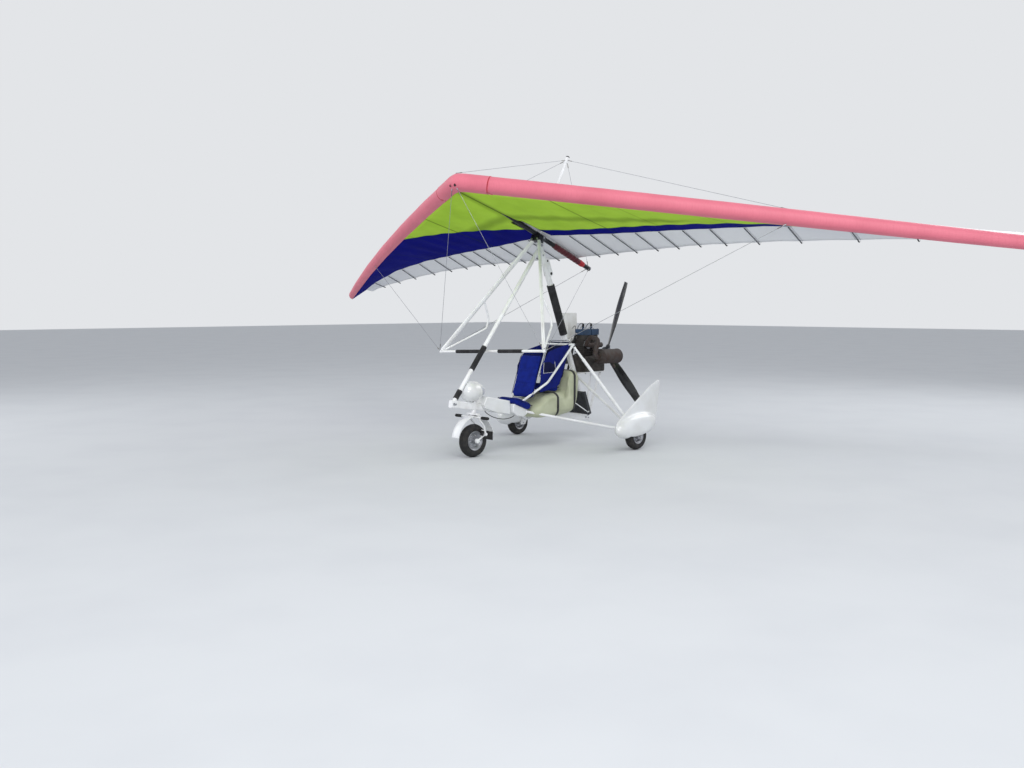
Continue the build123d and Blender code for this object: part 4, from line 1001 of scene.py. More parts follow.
# %% Slabs of foam
PADS = (
    # name, lower or rear edge x and z, upper or front edge x and z, thickness, half width, channels, finish
    ("front_seat_cushion", (850, 470), (1098, 566), 70, 165, 1, "seat_blue"),
    ("front_seat_back", (862, 560), (700, 1030), 60, 163, 2, "seat_blue"),
    ("rear_seat_cushion", (425, 645.8), (660, 685.8), 70, 175, 1, "seat_blue"),
    ("rear_seat_back", (400, 745), (236, 1170), 60, 175, 2, "seat_navy"),
)
PAD_INSET = 8 * MM
CORNER_ROUND = 38 * MM
RIM_ROUND = 0.62
STEEP = 0.7


def pad_frame(low, high):
    """The pad's own frame as a matrix, and the pad's length in metres."""
    along = Vector((high[0] - low[0], 0, high[1] - low[1]))
    length = along.length * MM
    along.normalize()
    out = Vector((-along.z, 0, along.x))
    if abs(along.z) > STEEP:
        out = Vector((along.z, 0, -along.x))
    across = out.cross(along)
    turn = Matrix((along, across, out)).transposed().to_4x4()
    middle = mm((low[0] + high[0]) / 2, 0, (low[1] + high[1]) / 2)
    return TRIKE @ Matrix.Translation(middle) @ turn, length


def rounded(bm, edges, width, segments):
    """Bevel some edges of a bmesh."""
    bmesh.ops.bevel(bm, geom=edges, offset=width, segments=segments, affect="EDGES",
                    profile=0.5, material=-1)


def slab(half_l, half_w, half_t):
    """A closed slab with rounded edges."""
    bm = bmesh.new()
    bmesh.ops.create_cube(bm, size=2.0)
    bmesh.ops.scale(bm, vec=(half_l, half_w, half_t), verts=bm.verts)
    upright = [edge for edge in bm.edges
               if abs(edge.verts[0].co.z - edge.verts[1].co.z) > half_t]
    rounded(bm, upright, CORNER_ROUND, 5)
    bm.normal_update()
    rims = [edge for edge in bm.edges
            if sum(abs(face.normal.z) > 0.5 for face in edge.link_faces) == 1]
    rounded(bm, rims, half_t * RIM_ROUND, 4)
    bmesh.ops.recalc_face_normals(bm, faces=bm.faces)
    return bm


print(len(PADS), "pads to make")

# %% [markdown]
# The cover's crowned faces, and the sides that pull in between its corners, come from a cloth
# simulation with pressure inside and no gravity. The slab is first remeshed into even squares, so
# that the cloth can stretch the same way everywhere. How far a point may move is capped, so that
# the pad stays in the room that the CAD solid holds.

# %% Blow a slab up as cloth
PAD_FRAMES = 20
PAD_VOXEL = 6 * MM
PAD_CAP = 9 * MM
PAD_PRESSURE = 4.0


def blow_up(bm):
    """Remesh a closed form into even squares and blow it up as cloth. Gives the new bmesh."""
    mesh = bpy.data.meshes.new("stuffing")
    bm.to_mesh(mesh)
    bm.free()
    work = bpy.data.objects.new("stuffing", mesh)
    bpy.context.scene.collection.objects.link(work)
    squares = work.modifiers.new("squares", "REMESH")
    squares.mode = "VOXEL"
    squares.voxel_size = PAD_VOXEL
    graph = bpy.context.evaluated_depsgraph_get()
    even = bpy.data.meshes.new_from_object(work.evaluated_get(graph))
    work.modifiers.clear()
    work.data = even
    start = [vert.co.copy() for vert in even.vertices]
    cloth = work.modifiers.new("cover", "CLOTH")
    cloth.settings.use_pressure = True
    cloth.settings.uniform_pressure_force = PAD_PRESSURE
    cloth.settings.effector_weights.gravity = 0.0
    for frame_number in range(1, PAD_FRAMES + 1):
        bpy.context.scene.frame_set(frame_number)
    graph = bpy.context.evaluated_depsgraph_get()
    swollen = bpy.data.meshes.new_from_object(work.evaluated_get(graph))
    for vert, rest in zip(swollen.vertices, start):
        step = vert.co - rest
        if step.length > PAD_CAP:
            step.length = PAD_CAP
        vert.co = rest + step
    bpy.context.scene.frame_set(1)
    bpy.data.objects.remove(work)
    blown = bmesh.new()
    blown.from_mesh(swollen)
    return blown


print("cloth helper ready,", PAD_FRAMES, "frames a pad")

# %% [markdown]
# The sewn channels come after the simulation, because remeshing would lose them. The cover is
# sewn down along them and puckers a little beside them, and a row of stitches round the sitting
# face holds a raised border. A piping cord is sewn in round the pad's widest line.

# %% Sewing
CHANNEL_DEEP, CHANNEL_WIDE = 6.0 * MM, 9 * MM
PUCKER = 0.16
WAIST = 0.035
STITCH_IN, STITCH_DEEP, STITCH_WIDE = 34 * MM, 2.2 * MM, 5 * MM
PIPING_POINTS = 64
PIPING_IN = 3.4 * MM
SQUARENESS = 0.22


def waist(x, half_l):
    """How far the sides are pulled in at a place along the pad, as a factor."""
    return 1 - WAIST * (1 - (x / half_l) ** 2)


def sew(bm, half_l, half_w, half_t, channels):
    """Pull the sides in, hold both faces inside the CAD solid and sew the sitting face down."""
    for vert in bm.verts:
        spot = vert.co
        spot.y *= waist(spot.x, half_l)
        spot.z = max(-half_t, min(half_t, spot.z))
        for line in range(1, channels + 1):
            away = spot.x - half_l * (2 * line / (channels + 1) - 1)
            pull = math.exp(-(away / CHANNEL_WIDE) ** 2)
            pucker = PUCKER * math.sin(spot.y / MM * 0.21) * math.exp(-(away / (3 * CHANNEL_WIDE)) ** 2)
            reach = max(0.0, 1 - (spot.y / (half_w * 0.98)) ** 8)
            if spot.z > 0:
                spot.z -= CHANNEL_DEEP * (pull + pucker) * reach
        border = max(abs(spot.x) - (half_l - STITCH_IN), abs(spot.y) - (half_w - STITCH_IN))
        if spot.z > 0:
            spot.z -= STITCH_DEEP * math.exp(-(border / STITCH_WIDE) ** 2)


def piping_ring(half_l, half_w, half_t):
    """Points round a pad: nearly a rectangle, with round corners."""
    ring = []
    for i in range(PIPING_POINTS + 1):
        turn = 2 * math.pi * i / PIPING_POINTS
        c, s = math.cos(turn), math.sin(turn)
        x = math.copysign(abs(c) ** SQUARENESS, c) * (half_l - PIPING_IN)
        y = math.copysign(abs(s) ** SQUARENESS, s) * (half_w - PIPING_IN)
        ring.append(Vector((x, y * waist(x, half_l), half_t * 0.35)))
    return ring


print("sewing helpers ready")

# %% [markdown]
# With its cover sewn, each pad is stood up in its place and gets its piping.

# %% Seat pads
for name, low, high, thick, half, channels, finish in PADS:
    stand, length = pad_frame(low, high)
    half_l, half_w, half_t = length / 2, half * MM, thick / 2 * MM
    bm = slab(half_l - PAD_INSET, half_w - PAD_INSET, half_t - PAD_INSET)
    bm = blow_up(bm)
    relax(bm)
    sew(bm, half_l, half_w, half_t, channels)
    for vert in bm.verts:
        vert.co = stand @ vert.co
    pad = settle(f"{name}_pad", bm, finishes[finish], "trike")
    smoother = pad.modifiers.new("fine_cover", "SUBSURF")
    smoother.levels = 1
    smoother.render_levels = 1
    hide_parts(name)

    bm = bmesh.new()
    hose_into(bm, [stand @ point for point in piping_ring(half_l, half_w, half_t)], 3.0, sides=8, steps=128)
    settle(f"{name}_piping", bm, finishes["seat_navy"], "trike")
    print(name, "pad:", len(pad.data.vertices), "corners")

# %% [markdown]
# ## Seat webs
#
# A panel of the seats' cloth closes each side, from the front seat's back to the rear one's. It
# is cut flat, hemmed, and stretched between the two seats, so it bellies out a few millimetres.
# A map pocket is sewn on it along three edges: a second, slacker panel, with a light hem.

# %% Seat webs and their pockets
WEB_LOWER = ((766, 630), (640, 646), (512, 664), (449, 702))
WEB_UPPER = ((745, 908), (634, 1053), (580, 1074), (272, 1142))
POCKET_LOWER = ((712, 832), (512, 838))
POCKET_UPPER = ((706, 950), (529, 952))
WEB_Y = 177.0
POCKET_Y = WEB_Y + 1.6
TAPE_Y = WEB_Y + 2.2


def along_line(points, share):
    """A point part of the way along a row of corners, by share of the row."""
    at = min(int(share * (len(points) - 1)), len(points) - 2)
    t = share * (len(points) - 1) - at
    return tuple(a + (b - a) * t for a, b in zip(points[at], points[at + 1]))


def panel_place(lower, upper, side, base_mm, belly_mm, slack_mm):
    """Where each corner of a side panel goes: ruled between two rows, and bellied outward."""
    def place(u, v):
        low, high = along_line(lower, u), along_line(upper, u)
        x, z = low[0] + (high[0] - low[0]) * v, low[1] + (high[1] - low[1]) * v
        out = base_mm + belly_mm * math.sin(math.pi * u) * math.sin(math.pi * v)
        out += slack_mm * math.sin(9 * u + 4 * v) * math.sin(math.pi * u) * v
        return on_trike(x, side * out, z)
    return place


def edging(name, corners, y, radius, finish):
    """A thin cord along a row of corners on one side of the seats."""
    bm = bmesh.new()
    for (ax, az), (bx, bz) in zip(corners, corners[1:]):
        hose_into(bm, (on_trike(ax, y, az), on_trike(bx, y, bz)), radius, 8, 6, straight=True)
    return settle(name, bm, finishes[finish], "trike")


for side, name in ((1, "left"), (-1, "right")):
    bm = bmesh.new()
    web_place = panel_place(WEB_LOWER, WEB_UPPER, side, WEB_Y, 2.0, 0.8)
    grid_into(bm, 40, 32, web_place, (0.48, 0.52), flip=side < 0)
    web_area = area_of(bm)
    web = settle(f"seat_web_{name}_cloth", bm, finishes["seat_side"], "trike", recalc=False)
    thicken(web, 1.2, 0.0)
    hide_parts(f"seat_web_{name}")

    bm = bmesh.new()
    pouch_place = panel_place(POCKET_LOWER, POCKET_UPPER, side, POCKET_Y, 5.0, 3.0)
    grid_into(bm, 28, 20, pouch_place, (0.2, 0.13), flip=side < 0)
    pocket_area = area_of(bm)
    pouch = settle(f"web_pocket_{name}", bm, finishes["seat_navy"], "trike", recalc=False)
    thicken(pouch, 1.0, 0.0)

    # Hems: the web's folded edge all round, and the light tape along the pocket's foot and sides
    outline = WEB_LOWER + WEB_UPPER[::-1] + WEB_LOWER[:1]
    hem = edging(f"web_hem_{name}", outline, side * WEB_Y, 2.4, "seat_side")
    tape = (POCKET_UPPER[0],) + POCKET_LOWER + (POCKET_UPPER[1],)
    edging(f"web_piping_{name}", tape, side * TAPE_Y, 2.0, "piping")
print("seat webs", round(web_area, 3), "m2 each")

# %% [markdown]
# ## Fuel tank
#
# The tank is blow-moulded from one tube of plastic, so it has no sharp edge anywhere: its side
# view is drawn as a ring of corners, and that ring shrinks toward each cheek on an arc, as the
# mould does. Two shallow ribs run round it.

# %% Fuel tank
TANK_RING = (
    # x and z, in mm
    (780, 352), (846, 400), (836, 466), (730, 540), (630, 592), (470, 612), (350, 632), (318, 720),
    (292, 806), (228, 842), (152, 832), (114, 760), (122, 640), (134, 520), (205, 390), (420, 347),
    (620, 347),
)
TANK_HALF = 207.0
TANK_CHEEK = 92.0
TANK_MIDDLE = (450, 520)
TANK_RIBS = (-62.0, 62.0)
RIB_WIDE, RIB_DEEP = 7.0, 2.5


def ring_point(share):
    """A point of the tank's side view, on a smooth closed curve through its corners."""
    count = len(TANK_RING)
    at = int(share * count) % count
    t = share * count - int(share * count)
    return curve_between(*(Vector(TANK_RING[(at + step) % count]) for step in (-1, 0, 1, 2)), t)


def tank_place(u, v):
    """The ring at a distance across, drawn in evenly all round toward each cheek."""
    turn = (v - 0.5) * math.pi
    y = TANK_HALF * math.sin(turn)
    over = max(0.0, (abs(y) - (TANK_HALF - TANK_CHEEK)) / TANK_CHEEK)
    drawn = TANK_CHEEK * (1 - math.sqrt(max(0.0, 1 - min(over, 1.0) ** 2.3)))
    rib = sum(math.exp(-((y - at) / RIB_WIDE) ** 2) for at in TANK_RIBS)
    point, middle = ring_point(u), Vector(TANK_MIDDLE)
    away = point - middle
    near = max(0.0, away.length - drawn - RIB_DEEP * rib)
    flat = away.normalized() * near
    return on_trike(middle.x + flat.x, y, middle.y + flat.y)


bm = bmesh.new()
grid_into(bm, 140, 60, tank_place, (1.9, 0.42), closed=True)
relax(bm)
bmesh.ops.recalc_face_normals(bm, faces=bm.faces)
skin = bm.copy()
tank = settle("tank_shell", bm, finishes["tank"], "trike")
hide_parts("fuel_tank")
print("tank", len(tank.data.polygons), "faces")

# %% [markdown]
# The two webbing straps are cut out of a copy of the tank's own skin between two planes and lifted
# off it, so they follow every curve under them.

# %% Tank straps
STRAP_X = (505.0, 225.0)
STRAP_HALF = 17
STRAP_LIFT = 1.6
strap_mesh = bmesh.new()
for x in STRAP_X:
    band = skin.copy()
    for cut, way in ((x - STRAP_HALF, -1), (x + STRAP_HALF, 1)):
        bmesh.ops.bisect_plane(band, geom=list(band.verts) + list(band.edges) + list(band.faces),
                               plane_co=on_trike(cut, 0, 0), plane_no=(way, 0, 0), clear_outer=True)
    band.normal_update()
    for vert in band.verts:
        vert.co += vert.normal * STRAP_LIFT * MM
    whole = bpy.data.meshes.new("band")
    band.to_mesh(whole)
    band.free()
    strap_mesh.from_mesh(whole)
skin.free()
belts = settle("tank_webbing", strap_mesh, finishes["strap"], "trike", recalc=False)
thicken(belts, 2.0, 1.0)
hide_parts("tank_straps")
print("straps", len(belts.data.polygons), "faces")

# %% [markdown]
# ## Turned parts
#
# A tyre, a cap or a drum is a section spun about its axle, so one helper makes them all. The
# smallest of them is a hoop, whose section is a rectangle: a clamp, a collar or a turn of tape.

# %% Helpers for turned parts


def turned(bm, section, centre, axis=(0, 1, 0), steps=48):
    """Spin a closed or open section of (along the axis, radius) in mm about an axis."""
    turn = Vector(axis).to_track_quat("Z", "Y").to_matrix().to_4x4()
    place = Matrix.Translation(centre) @ turn
    before = set(bm.faces)
    ring = [bm.verts.new(place @ mm(radius, 0, along)) for along, radius in section]
    edges = [bm.edges.new(pair) for pair in zip(ring, ring[1:])]
    if section[0] == section[-1]:
        bmesh.ops.remove_doubles(bm, verts=[ring[0], ring[-1]], dist=1e-7)
        ring = [vert for vert in ring if vert.is_valid]
        edges = list({edge for vert in ring for edge in vert.link_edges})
    bmesh.ops.spin(bm, geom=ring + edges, cent=centre, axis=(place.to_3x3() @ Vector((0, 0, 1))),
                   angle=2 * math.pi, steps=steps, use_merge=True)
    made = set(bm.faces) - before
    bmesh.ops.remove_doubles(bm, verts=list({vert for face in made for vert in face.verts}), dist=1e-5)


def hoop(low, high, inner, outer):
    """The section of a hoop, from low to high along its axis."""
    return (low, inner), (low, outer), (high, outer), (high, inner), (low, inner)


def round_about(count, radius, start=0.5):
    """Places spread evenly round a circle. The first is a share of a step round from zero."""
    turns = [2 * math.pi * (i + start) / count for i in range(count)]
    return [(radius * math.cos(turn), radius * math.sin(turn)) for turn in turns]


print("turning helpers ready")

# %% [markdown]
# ## Tyres and wheel bolts
#
# The tyre's section has round shoulders, a bead that sits on the rim, and three grooves that run
# round the tread, which is the usual tread of a small aircraft tyre. Its section and its number of
# steps are kept low, because the whole set of tyres has to stay light.

# %% Tyres
FRONT_TYRE_R, REAR_TYRE_R, TRACK, WHEELBASE = 172.0, 150.0, 1782.0, 1598.0
WHEELS = (
    # name, x, y, tyre radius, rim radius, body
    ("front", WHEELBASE, 0.0, FRONT_TYRE_R, 102.0, "front_wheel"),
    ("rear_left", 0.0, TRACK / 2, REAR_TYRE_R, 86.0, "rear_left_wheel"),
    ("rear_right", 0.0, -TRACK / 2, REAR_TYRE_R, 86.0, "rear_right_wheel"),
)
TYRE_STEPS = 40
TREAD_HALF, TREAD_CROWN = 28.5, 8.0
WHEEL_BOLTS, BOLT_CIRCLE_R, BOLT_OUT = 6, 42, 9.5


def tyre_section(outer, rim):
    """A tyre's closed section, as (across, radius): one half from bead to middle, and its mirror."""
    tall = outer - rim
    half = [(36.5, rim + 0.4), (43.5, rim + 0.24 * tall), (45.9, rim + 0.5 * tall),
            (44.0, rim + 0.74 * tall), (37.5, outer - 12.0), (TREAD_HALF, outer - TREAD_CROWN)]
    for across, sunk in ((19.0, 0), (18.0, 4), (14.5, 4), (13.5, 0), (2.2, 0), (1.4, 4)):
        half.append((across, outer - TREAD_CROWN * (across / TREAD_HALF) ** 2 - sunk))
    return half + [(-across, radius) for across, radius in reversed(half)] + half[:1]


tyre_faces = 0
for name, x, y, outer, rim, body in WHEELS:
    bm = bmesh.new()
    turned(bm, tyre_section(outer, rim), on_trike(x, y, outer), steps=TYRE_STEPS)
    tyre = settle(f"{name}_tyre_tread", bm, finishes["rubber"], body)
    harden(tyre, 45)
    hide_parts(f"{name}_tyre")
    tyre_faces += len(tyre.data.polygons)

    # Wheel bolts on both sides, and the valve
    bm = bmesh.new()
    for side in (1, -1):
        for across, up in round_about(WHEEL_BOLTS, BOLT_CIRCLE_R):
            spot = on_trike(x + across, y + side * BOLT_OUT, outer + up)
            bolt_into(bm, spot, (0, side, 0), 9.0, 5.0, 14.0)
    valve = (on_trike(x + rim - 26, y + 24, outer), on_trike(x + rim - 40, y + 44, outer))
    hose_into(bm, valve, 3.2, 8, 4, straight=True)
    harden(settle(f"{name}_wheel_bolts", bm, finishes["machined"], body))
print("tyres:", 2 * tyre_faces, "triangles")

# %% [markdown]
# ## Wheel fairings
#
# The fairing is one glass fibre moulding: a thin upright fin that swells round the wheel. The CAD
# solid keeps its true shape here. Its mesh is remade into even squares and smoothed, both as
# modifiers, which gives the swelling the soft root and the edges the round lip of a moulding.

# %% Smooth the mouldings
MOULDINGS = (
    # solid, size of the squares in mm, how often it is smoothed
    ("wheel_fairing_left", 6.0, 70),
    ("wheel_fairing_right", 6.0, 70),
    ("seat_tray", 4.0, 8),
    ("leg_box", 4.0, 4),
    ("instrument_pod", 4.0, 6),
)
for name, square, times in MOULDINGS:
    node = nodes[name]
    even = node.modifiers.new("even_squares", "REMESH")
    even.mode = "VOXEL"
    even.voxel_size = square * MM
    even.use_smooth_shade = True
    softer = node.modifiers.new("moulded", "SMOOTH")
    softer.factor = 0.5
    softer.iterations = times
print(len(MOULDINGS), "mouldings smoothed")

# %% [markdown]
# ## Engine fittings
#
# A twin two-stroke has, for each cylinder, a plug with its cap and lead, a head held by nuts, a
# carburettor on a rubber flange with two clamps, and an exhaust port flange. Each of these is a
# small turned or bolted part set on the CAD engine.

# %% Plugs, carburettors, clamps and bolts
FORWARD, BACKWARD, ACROSS, UP, DOWN = (1, 0, 0), (-1, 0, 0), (0, 1, 0), (0, 0, 1), (0, 0, -1)
CYLINDER_X = (-165.0, -310.0)
HEAD_TOP = 1292.0
PORT_Z = 1110.0
THROAT_Y, THROAT_Z = -112, PORT_Z + 11
PLUG_CAP = ((24, 0), (24, 9), (30, 13), (58, 12), (64, 8), (64, 0))
FLOAT_BOWL = ((-66, 0), (-66, 15), (-60, 22), (-32, 24), (-30, 28), (-26, 28), (-26, 0))
SLIDE_HOUSING = ((24, 0), (24, 24), (50, 24), (52, 26), (60, 26), (62, 20), (68, 8), (84, 6), (84, 0))


def put(name, bm, finish, body="trike", sharp=True):
    """Settle small hard parts in one finish."""
    piece = settle(name, bm, finishes[finish], body)
    if sharp:
        harden(piece)
    return piece


def routed(corners):
    """A row of corners in the trike's millimetres, as metres in the model."""
    return [on_trike(*corner) for corner in corners]


caps, nuts, carbs, flanges, clamps = (bmesh.new() for _ in range(5))
for x in CYLINDER_X:
    turned(caps, PLUG_CAP, on_trike(x, 0, HEAD_TOP), UP, 20)
    plug_lead = ((x, 0, HEAD_TOP + 58), (x, -30, HEAD_TOP + 66), (x, -82, HEAD_TOP + 10),
                 (x - 12, -92, 1160), (-237, -96, 1030))
    hose_into(caps, routed(plug_lead), 3.5, 8, 28)
    for dx in (-48, 48):
        for y in (-54, 0, 54):
            bolt_into(nuts, on_trike(x + dx, y, HEAD_TOP), UP, 13, 8, 20)
    # Carburettor: float bowl below its throat, slide housing above, and the throttle cable
    throat = on_trike(x, THROAT_Y, THROAT_Z)
    turned(carbs, FLOAT_BOWL, throat, UP, 24)
    turned(carbs, SLIDE_HOUSING, throat, UP, 24)
    throttle = ((x, THROAT_Y, PORT_Z + 94), (x + 6, -114, 1260), (x + 60, -70, 1330), (x + 150, -40, 1300))
    hose_into(carbs, routed(throttle), 2.6, 8, 20)
    for y in (-72, -150):
        turned(flanges, hoop(-9, 9, 25, 31), on_trike(x, y, THROAT_Z), ACROSS, 28)
        turned(clamps, hoop(-3, 3, 31, 32.6), on_trike(x, y, THROAT_Z), ACROSS, 28)
        bolt_into(clamps, on_trike(x, y, PORT_Z + 43), UP, 7, 5, 9)
    # Exhaust port flange with its two nuts
    for dx in (-34, 34):
        bolt_into(nuts, on_trike(x + dx, 76, PORT_Z), ACROSS, 12, 8, 18)
    turned(clamps, hoop(0, 6, 21, 42), on_trike(x, 75.5, PORT_Z), ACROSS, 32)
# The gearbox's cover, and the four bolts that hold the engine on its bed
for across, up in round_about(8, 80):
    bolt_into(nuts, on_trike(-520, across, 962 + up), BACKWARD, 10, 7, 16)
for x in (-390, -120):
    for y in (-78, 78):
        bolt_into(nuts, on_trike(x, y, 788), DOWN, 17, 10, 34)
put("plug_caps_and_leads", caps, "rubber_hose")
put("engine_nuts", nuts, "machined")
put("carburettors", carbs, "alloy")
put("intake_flanges", flanges, "rubber_hose")
put("hose_clamps", clamps, "machined")
print("fittings for", len(CYLINDER_X), "cylinders")

# %% [markdown]
# The silencer is joined to the engine by springs, because the engine shakes. A spring is a hose
# whose curve is a helix round the line between its two hooks. Bands clamp the drum and its ends.

# %% Muffler bands and springs
MUFFLER_Y, MUFFLER_Z = 300, 985
SPRING_TURNS, SPRING_POINTS, SPRING_R = 9, 72, 5
rings, springs = bmesh.new(), bmesh.new()
for x in (-118, -412):
    turned(rings, hoop(-7, 7, 81, 84.2), on_trike(x, MUFFLER_Y, MUFFLER_Z), FORWARD, 48)
for x in (-82, -448):
    turned(rings, hoop(-3, 3, 56, 62), on_trike(x, MUFFLER_Y, MUFFLER_Z), FORWARD, 48)
turned(rings, hoop(-12, 12, 27, 31), on_trike(-60, 127, 1124), (0, 0.2, 1), 32)
for side in (-1, 1):
    start, end = on_trike(-60 + side * 34, 124, 1104), on_trike(-60 + side * 34, 146, 1160)
    axis = (end - start).normalized()
    out = axis.orthogonal().normalized()
    across = axis.cross(out)
    coil = []
    for i in range(SPRING_POINTS + 1):
        share = i / SPRING_POINTS
        turn = share * SPRING_TURNS * 2 * math.pi
        round_axis = (out * math.cos(turn) + across * math.sin(turn)) * SPRING_R * MM
        coil.append(start.lerp(end, share) + round_axis)
    hose_into(springs, coil, 1.1, 6, 3 * SPRING_POINTS)
put("muffler_bands", rings, "rust")
put("exhaust_springs", springs, "wire", sharp=False)
print("springs of", SPRING_TURNS, "turns")

# %% [markdown]
# ## Cooling
#
# The engine is cooled by water. The black square ahead of the mast's foot is its radiator: a core
# of thin fins between two header tanks. One hose takes hot water from the heads down to it and
# one brings it back to the crankcase, each held by a clamp on its spigot.

# %% Radiator hoses and stay
HOSE_R = 13.0
HOSES = (
    # the corners of each route in mm
    ((-18, -136, 592), (-22, -138, 650), (-40, -128, 800),
     (-70, -92, 1000), (-84, -60, 1180), (-100, -44, 1250)),
    ((-92, -136, 372), (-120, -140, 420), (-150, -136, 600), (-150, -124, 760), (-140, -104, 860)),
)
STAY_ROUTE = ((182, 148, 488), (-88, 148, 342))
STAY_PIN = ((-96, 134, 352), (-96, 152, 352))
pipes, bands, stay = (bmesh.new() for _ in range(3))
for corners in HOSES:
    hose_into(pipes, routed(corners), HOSE_R, 16, 48)
    for end, inward in ((corners[0], corners[1]), (corners[-1], corners[-2])):
        axis = (mm(*inward) - mm(*end)).normalized()
        turned(bands, hoop(6, 15, HOSE_R, HOSE_R + 1.6), on_trike(*end), axis, 24)
hose_into(stay, routed(STAY_ROUTE), 5.5, 12, 4, straight=True)
hose_into(stay, routed(STAY_PIN), 6.0, 12, 2, straight=True)
put("radiator_hoses", pipes, "rubber_hose", sharp=False)
put("radiator_clamps", bands, "machined")
put("radiator_stay", stay, "frame", sharp=False)
print(len(HOSES), "coolant hoses")

# %% [markdown]
# Six bolts clamp the propeller's hub, with a cap in their middle. Each blade is a separate piece
# whose round root is held in a collar, so that its pitch can be set on the ground.

# %% Propeller bolts and blade roots
HUB_FACE_X, BLADES_X, PROP_Z = -628, -600, 1012
BLADE_DEG = (19, 139, 259)
HUB_CAP = ((-6, 0), (-6, 17), (0, 22), (0, 0))
ROOT_COLLAR = ((52, 17), (52, 25), (60, 27), (74, 27), (78, 24), (92, 20), (92, 14))
bolts, roots = bmesh.new(), bmesh.new()
for across, up in round_about(6, 40, start=0):
    bolt_into(bolts, on_trike(HUB_FACE_X, across, PROP_Z + up), BACKWARD, 13, 8, 20)
turned(bolts, HUB_CAP, on_trike(HUB_FACE_X, 0, PROP_Z), FORWARD, 32)
for angle in BLADE_DEG:
    out = Vector((0, math.sin(math.radians(angle)), math.cos(math.radians(angle))))
    turned(roots, ROOT_COLLAR, on_trike(BLADES_X, 0, PROP_Z), out, 32)
put("propeller_bolts", bolts, "machined", "propeller")
put("blade_root_collars", roots, "hub", "propeller")
print(len(BLADE_DEG), "blade collars")

# %% [markdown]
# ## Bolts and brackets of the trike
#
# The frame is tubes and one square beam, bolted together so that it can be taken apart. Each joint
# has a bolt right through it, so a washer and a head or nut show on both sides.

# %% Frame bolts
THROUGH_BOLTS = (
    # x, half the width that the bolt passes through, z, size across the head
    (-222, 32, 296, 17), (-196, 25.5, 268, 13), (-240, 25.5, 262, 13),
    (1880, 25.5, 571, 17), (1855, 25.5, 567, 13), (1060, 27, 450, 13), (1000, 26, 444, 13),
    (552, 27.2, 2112, 13), (612, 27.2, 2112, 13), (576, 27.3, 2218, 19),
    (700, 25.5, 398, 13), (330, 25.5, 344, 13),
)
LEG_BOLTS = ((-60, 232), (-72, 214), (-24, 190), (0, 150))
frame_bolts = bmesh.new()
for x, half, z, size in THROUGH_BOLTS:
    for side in (1, -1):
        bolt_into(frame_bolts, on_trike(x, side * half, z), (0, side, 0), size, size * 0.45, size * 1.7)
for side in (1, -1):
    for x, z in LEG_BOLTS:
        bolt_into(frame_bolts, on_trike(x, side * (TRACK / 2 - 97), z), (0, -side, 0), 13, 6, 20)
    # The stub axle's nut, and the bolt of the seat frame's top
    bolt_into(frame_bolts, on_trike(0, side * 949, 150), (0, side, 0), 19, 12, 26)
    bolt_into(frame_bolts, on_trike(285, side * 251, 1130), (0, side, 0), 13, 6, 18)
put("frame_bolts", frame_bolts, "machined")
print(2 * (len(THROUGH_BOLTS) + len(LEG_BOLTS) + 2), "frame bolts")

# %% [markdown]
# Two cheek plates stiffen the mast's head. Each is its outline drawn as one face and pushed out to
# its thickness. A shallow black dish stands for each of its lightening holes: painted shade where
# the dark inside a hole would show.

# %% Cheek plates on the mast's head, with their holes
CHEEK = ((524, 2084), (476, 2086), (398, 1912), (424, 1884), (468, 1888))
CHEEK_Y, CHEEK_THICK = 33.0, 3
CHEEK_HOLES = (
    # x, z, radius
    (430, 1915, 13), (492, 2052, 8),
)
plates, holes = bmesh.new(), bmesh.new()
for side in (1, -1):
    face = plates.faces.new([plates.verts.new(on_trike(x, side * CHEEK_Y, z)) for x, z in CHEEK])
    made = bmesh.ops.extrude_face_region(plates, geom=[face])["geom"]
    bmesh.ops.translate(plates, vec=Vector((0, side * CHEEK_THICK, 0)) * MM,
                        verts=[item for item in made if isinstance(item, bmesh.types.BMVert)])
    # A black dish laid on the plate for each hole: painted shade, not an opening
    for x, z, radius in CHEEK_HOLES:
        turned(holes, ((0, 0), (0.6, radius), (1.4, radius + 3), (0, radius + 4)),
               on_trike(x, side * 36.2, z), (0, side, 0), 28)
soften(put("mast_bracket", plates, "frame"), 1.0)
put("bracket_hole_shades", holes, "black_tube")
print("cheek plates with", len(CHEEK_HOLES), "holes each")

# %% [markdown]
# ## Front end
#
# The front fork carries its wheel on short links behind rubber blocks, so it can rise a little
# over a bump. The pegs have ribbed rubber sleeves, so that a shoe doesn't slip off them. A black
# cable runs from the pedals back under the leg fairing.

# %% Fork blocks, pegs and cable
AXLE_BOSS = ((-15, 10), (-15, 21), (-12, 24), (12, 24), (15, 21), (15, 10), (-15, 10))
SPRING_BLOCK = ((6, 0), (6, 15), (14, 18), (24, 15), (34, 18), (44, 15), (54, 18), (62, 15), (62, 0))
LOWER_CUP, UPPER_CUP = ((0, 0), (0, 17), (6, 19), (7, 0)), ((61, 0), (62, 19), (68, 17), (70, 0))
PEG_RIBS, RIB_EVERY = 9, 10
PEG_R, RIB_R = 14.2, 16.4
CABLE = (
    (1452, 27, 470), (1432, 40, 442), (1372, 64, 404), (1290, 72, 380),
    (1200, 72, 368), (1100, 62, 374), (1000, 40, 392), (900, 28, 396),
)
peg = [(0, PEG_R)]
for i in range(PEG_RIBS):
    at = i * RIB_EVERY
    peg += [(4 + at, PEG_R), (5 + at, RIB_R), (9 + at, RIB_R), (10 + at, PEG_R)]
peg += [(97, PEG_R), (99, 12), (99, 0)]
blocks, rubber_bits, cables = (bmesh.new() for _ in range(3))
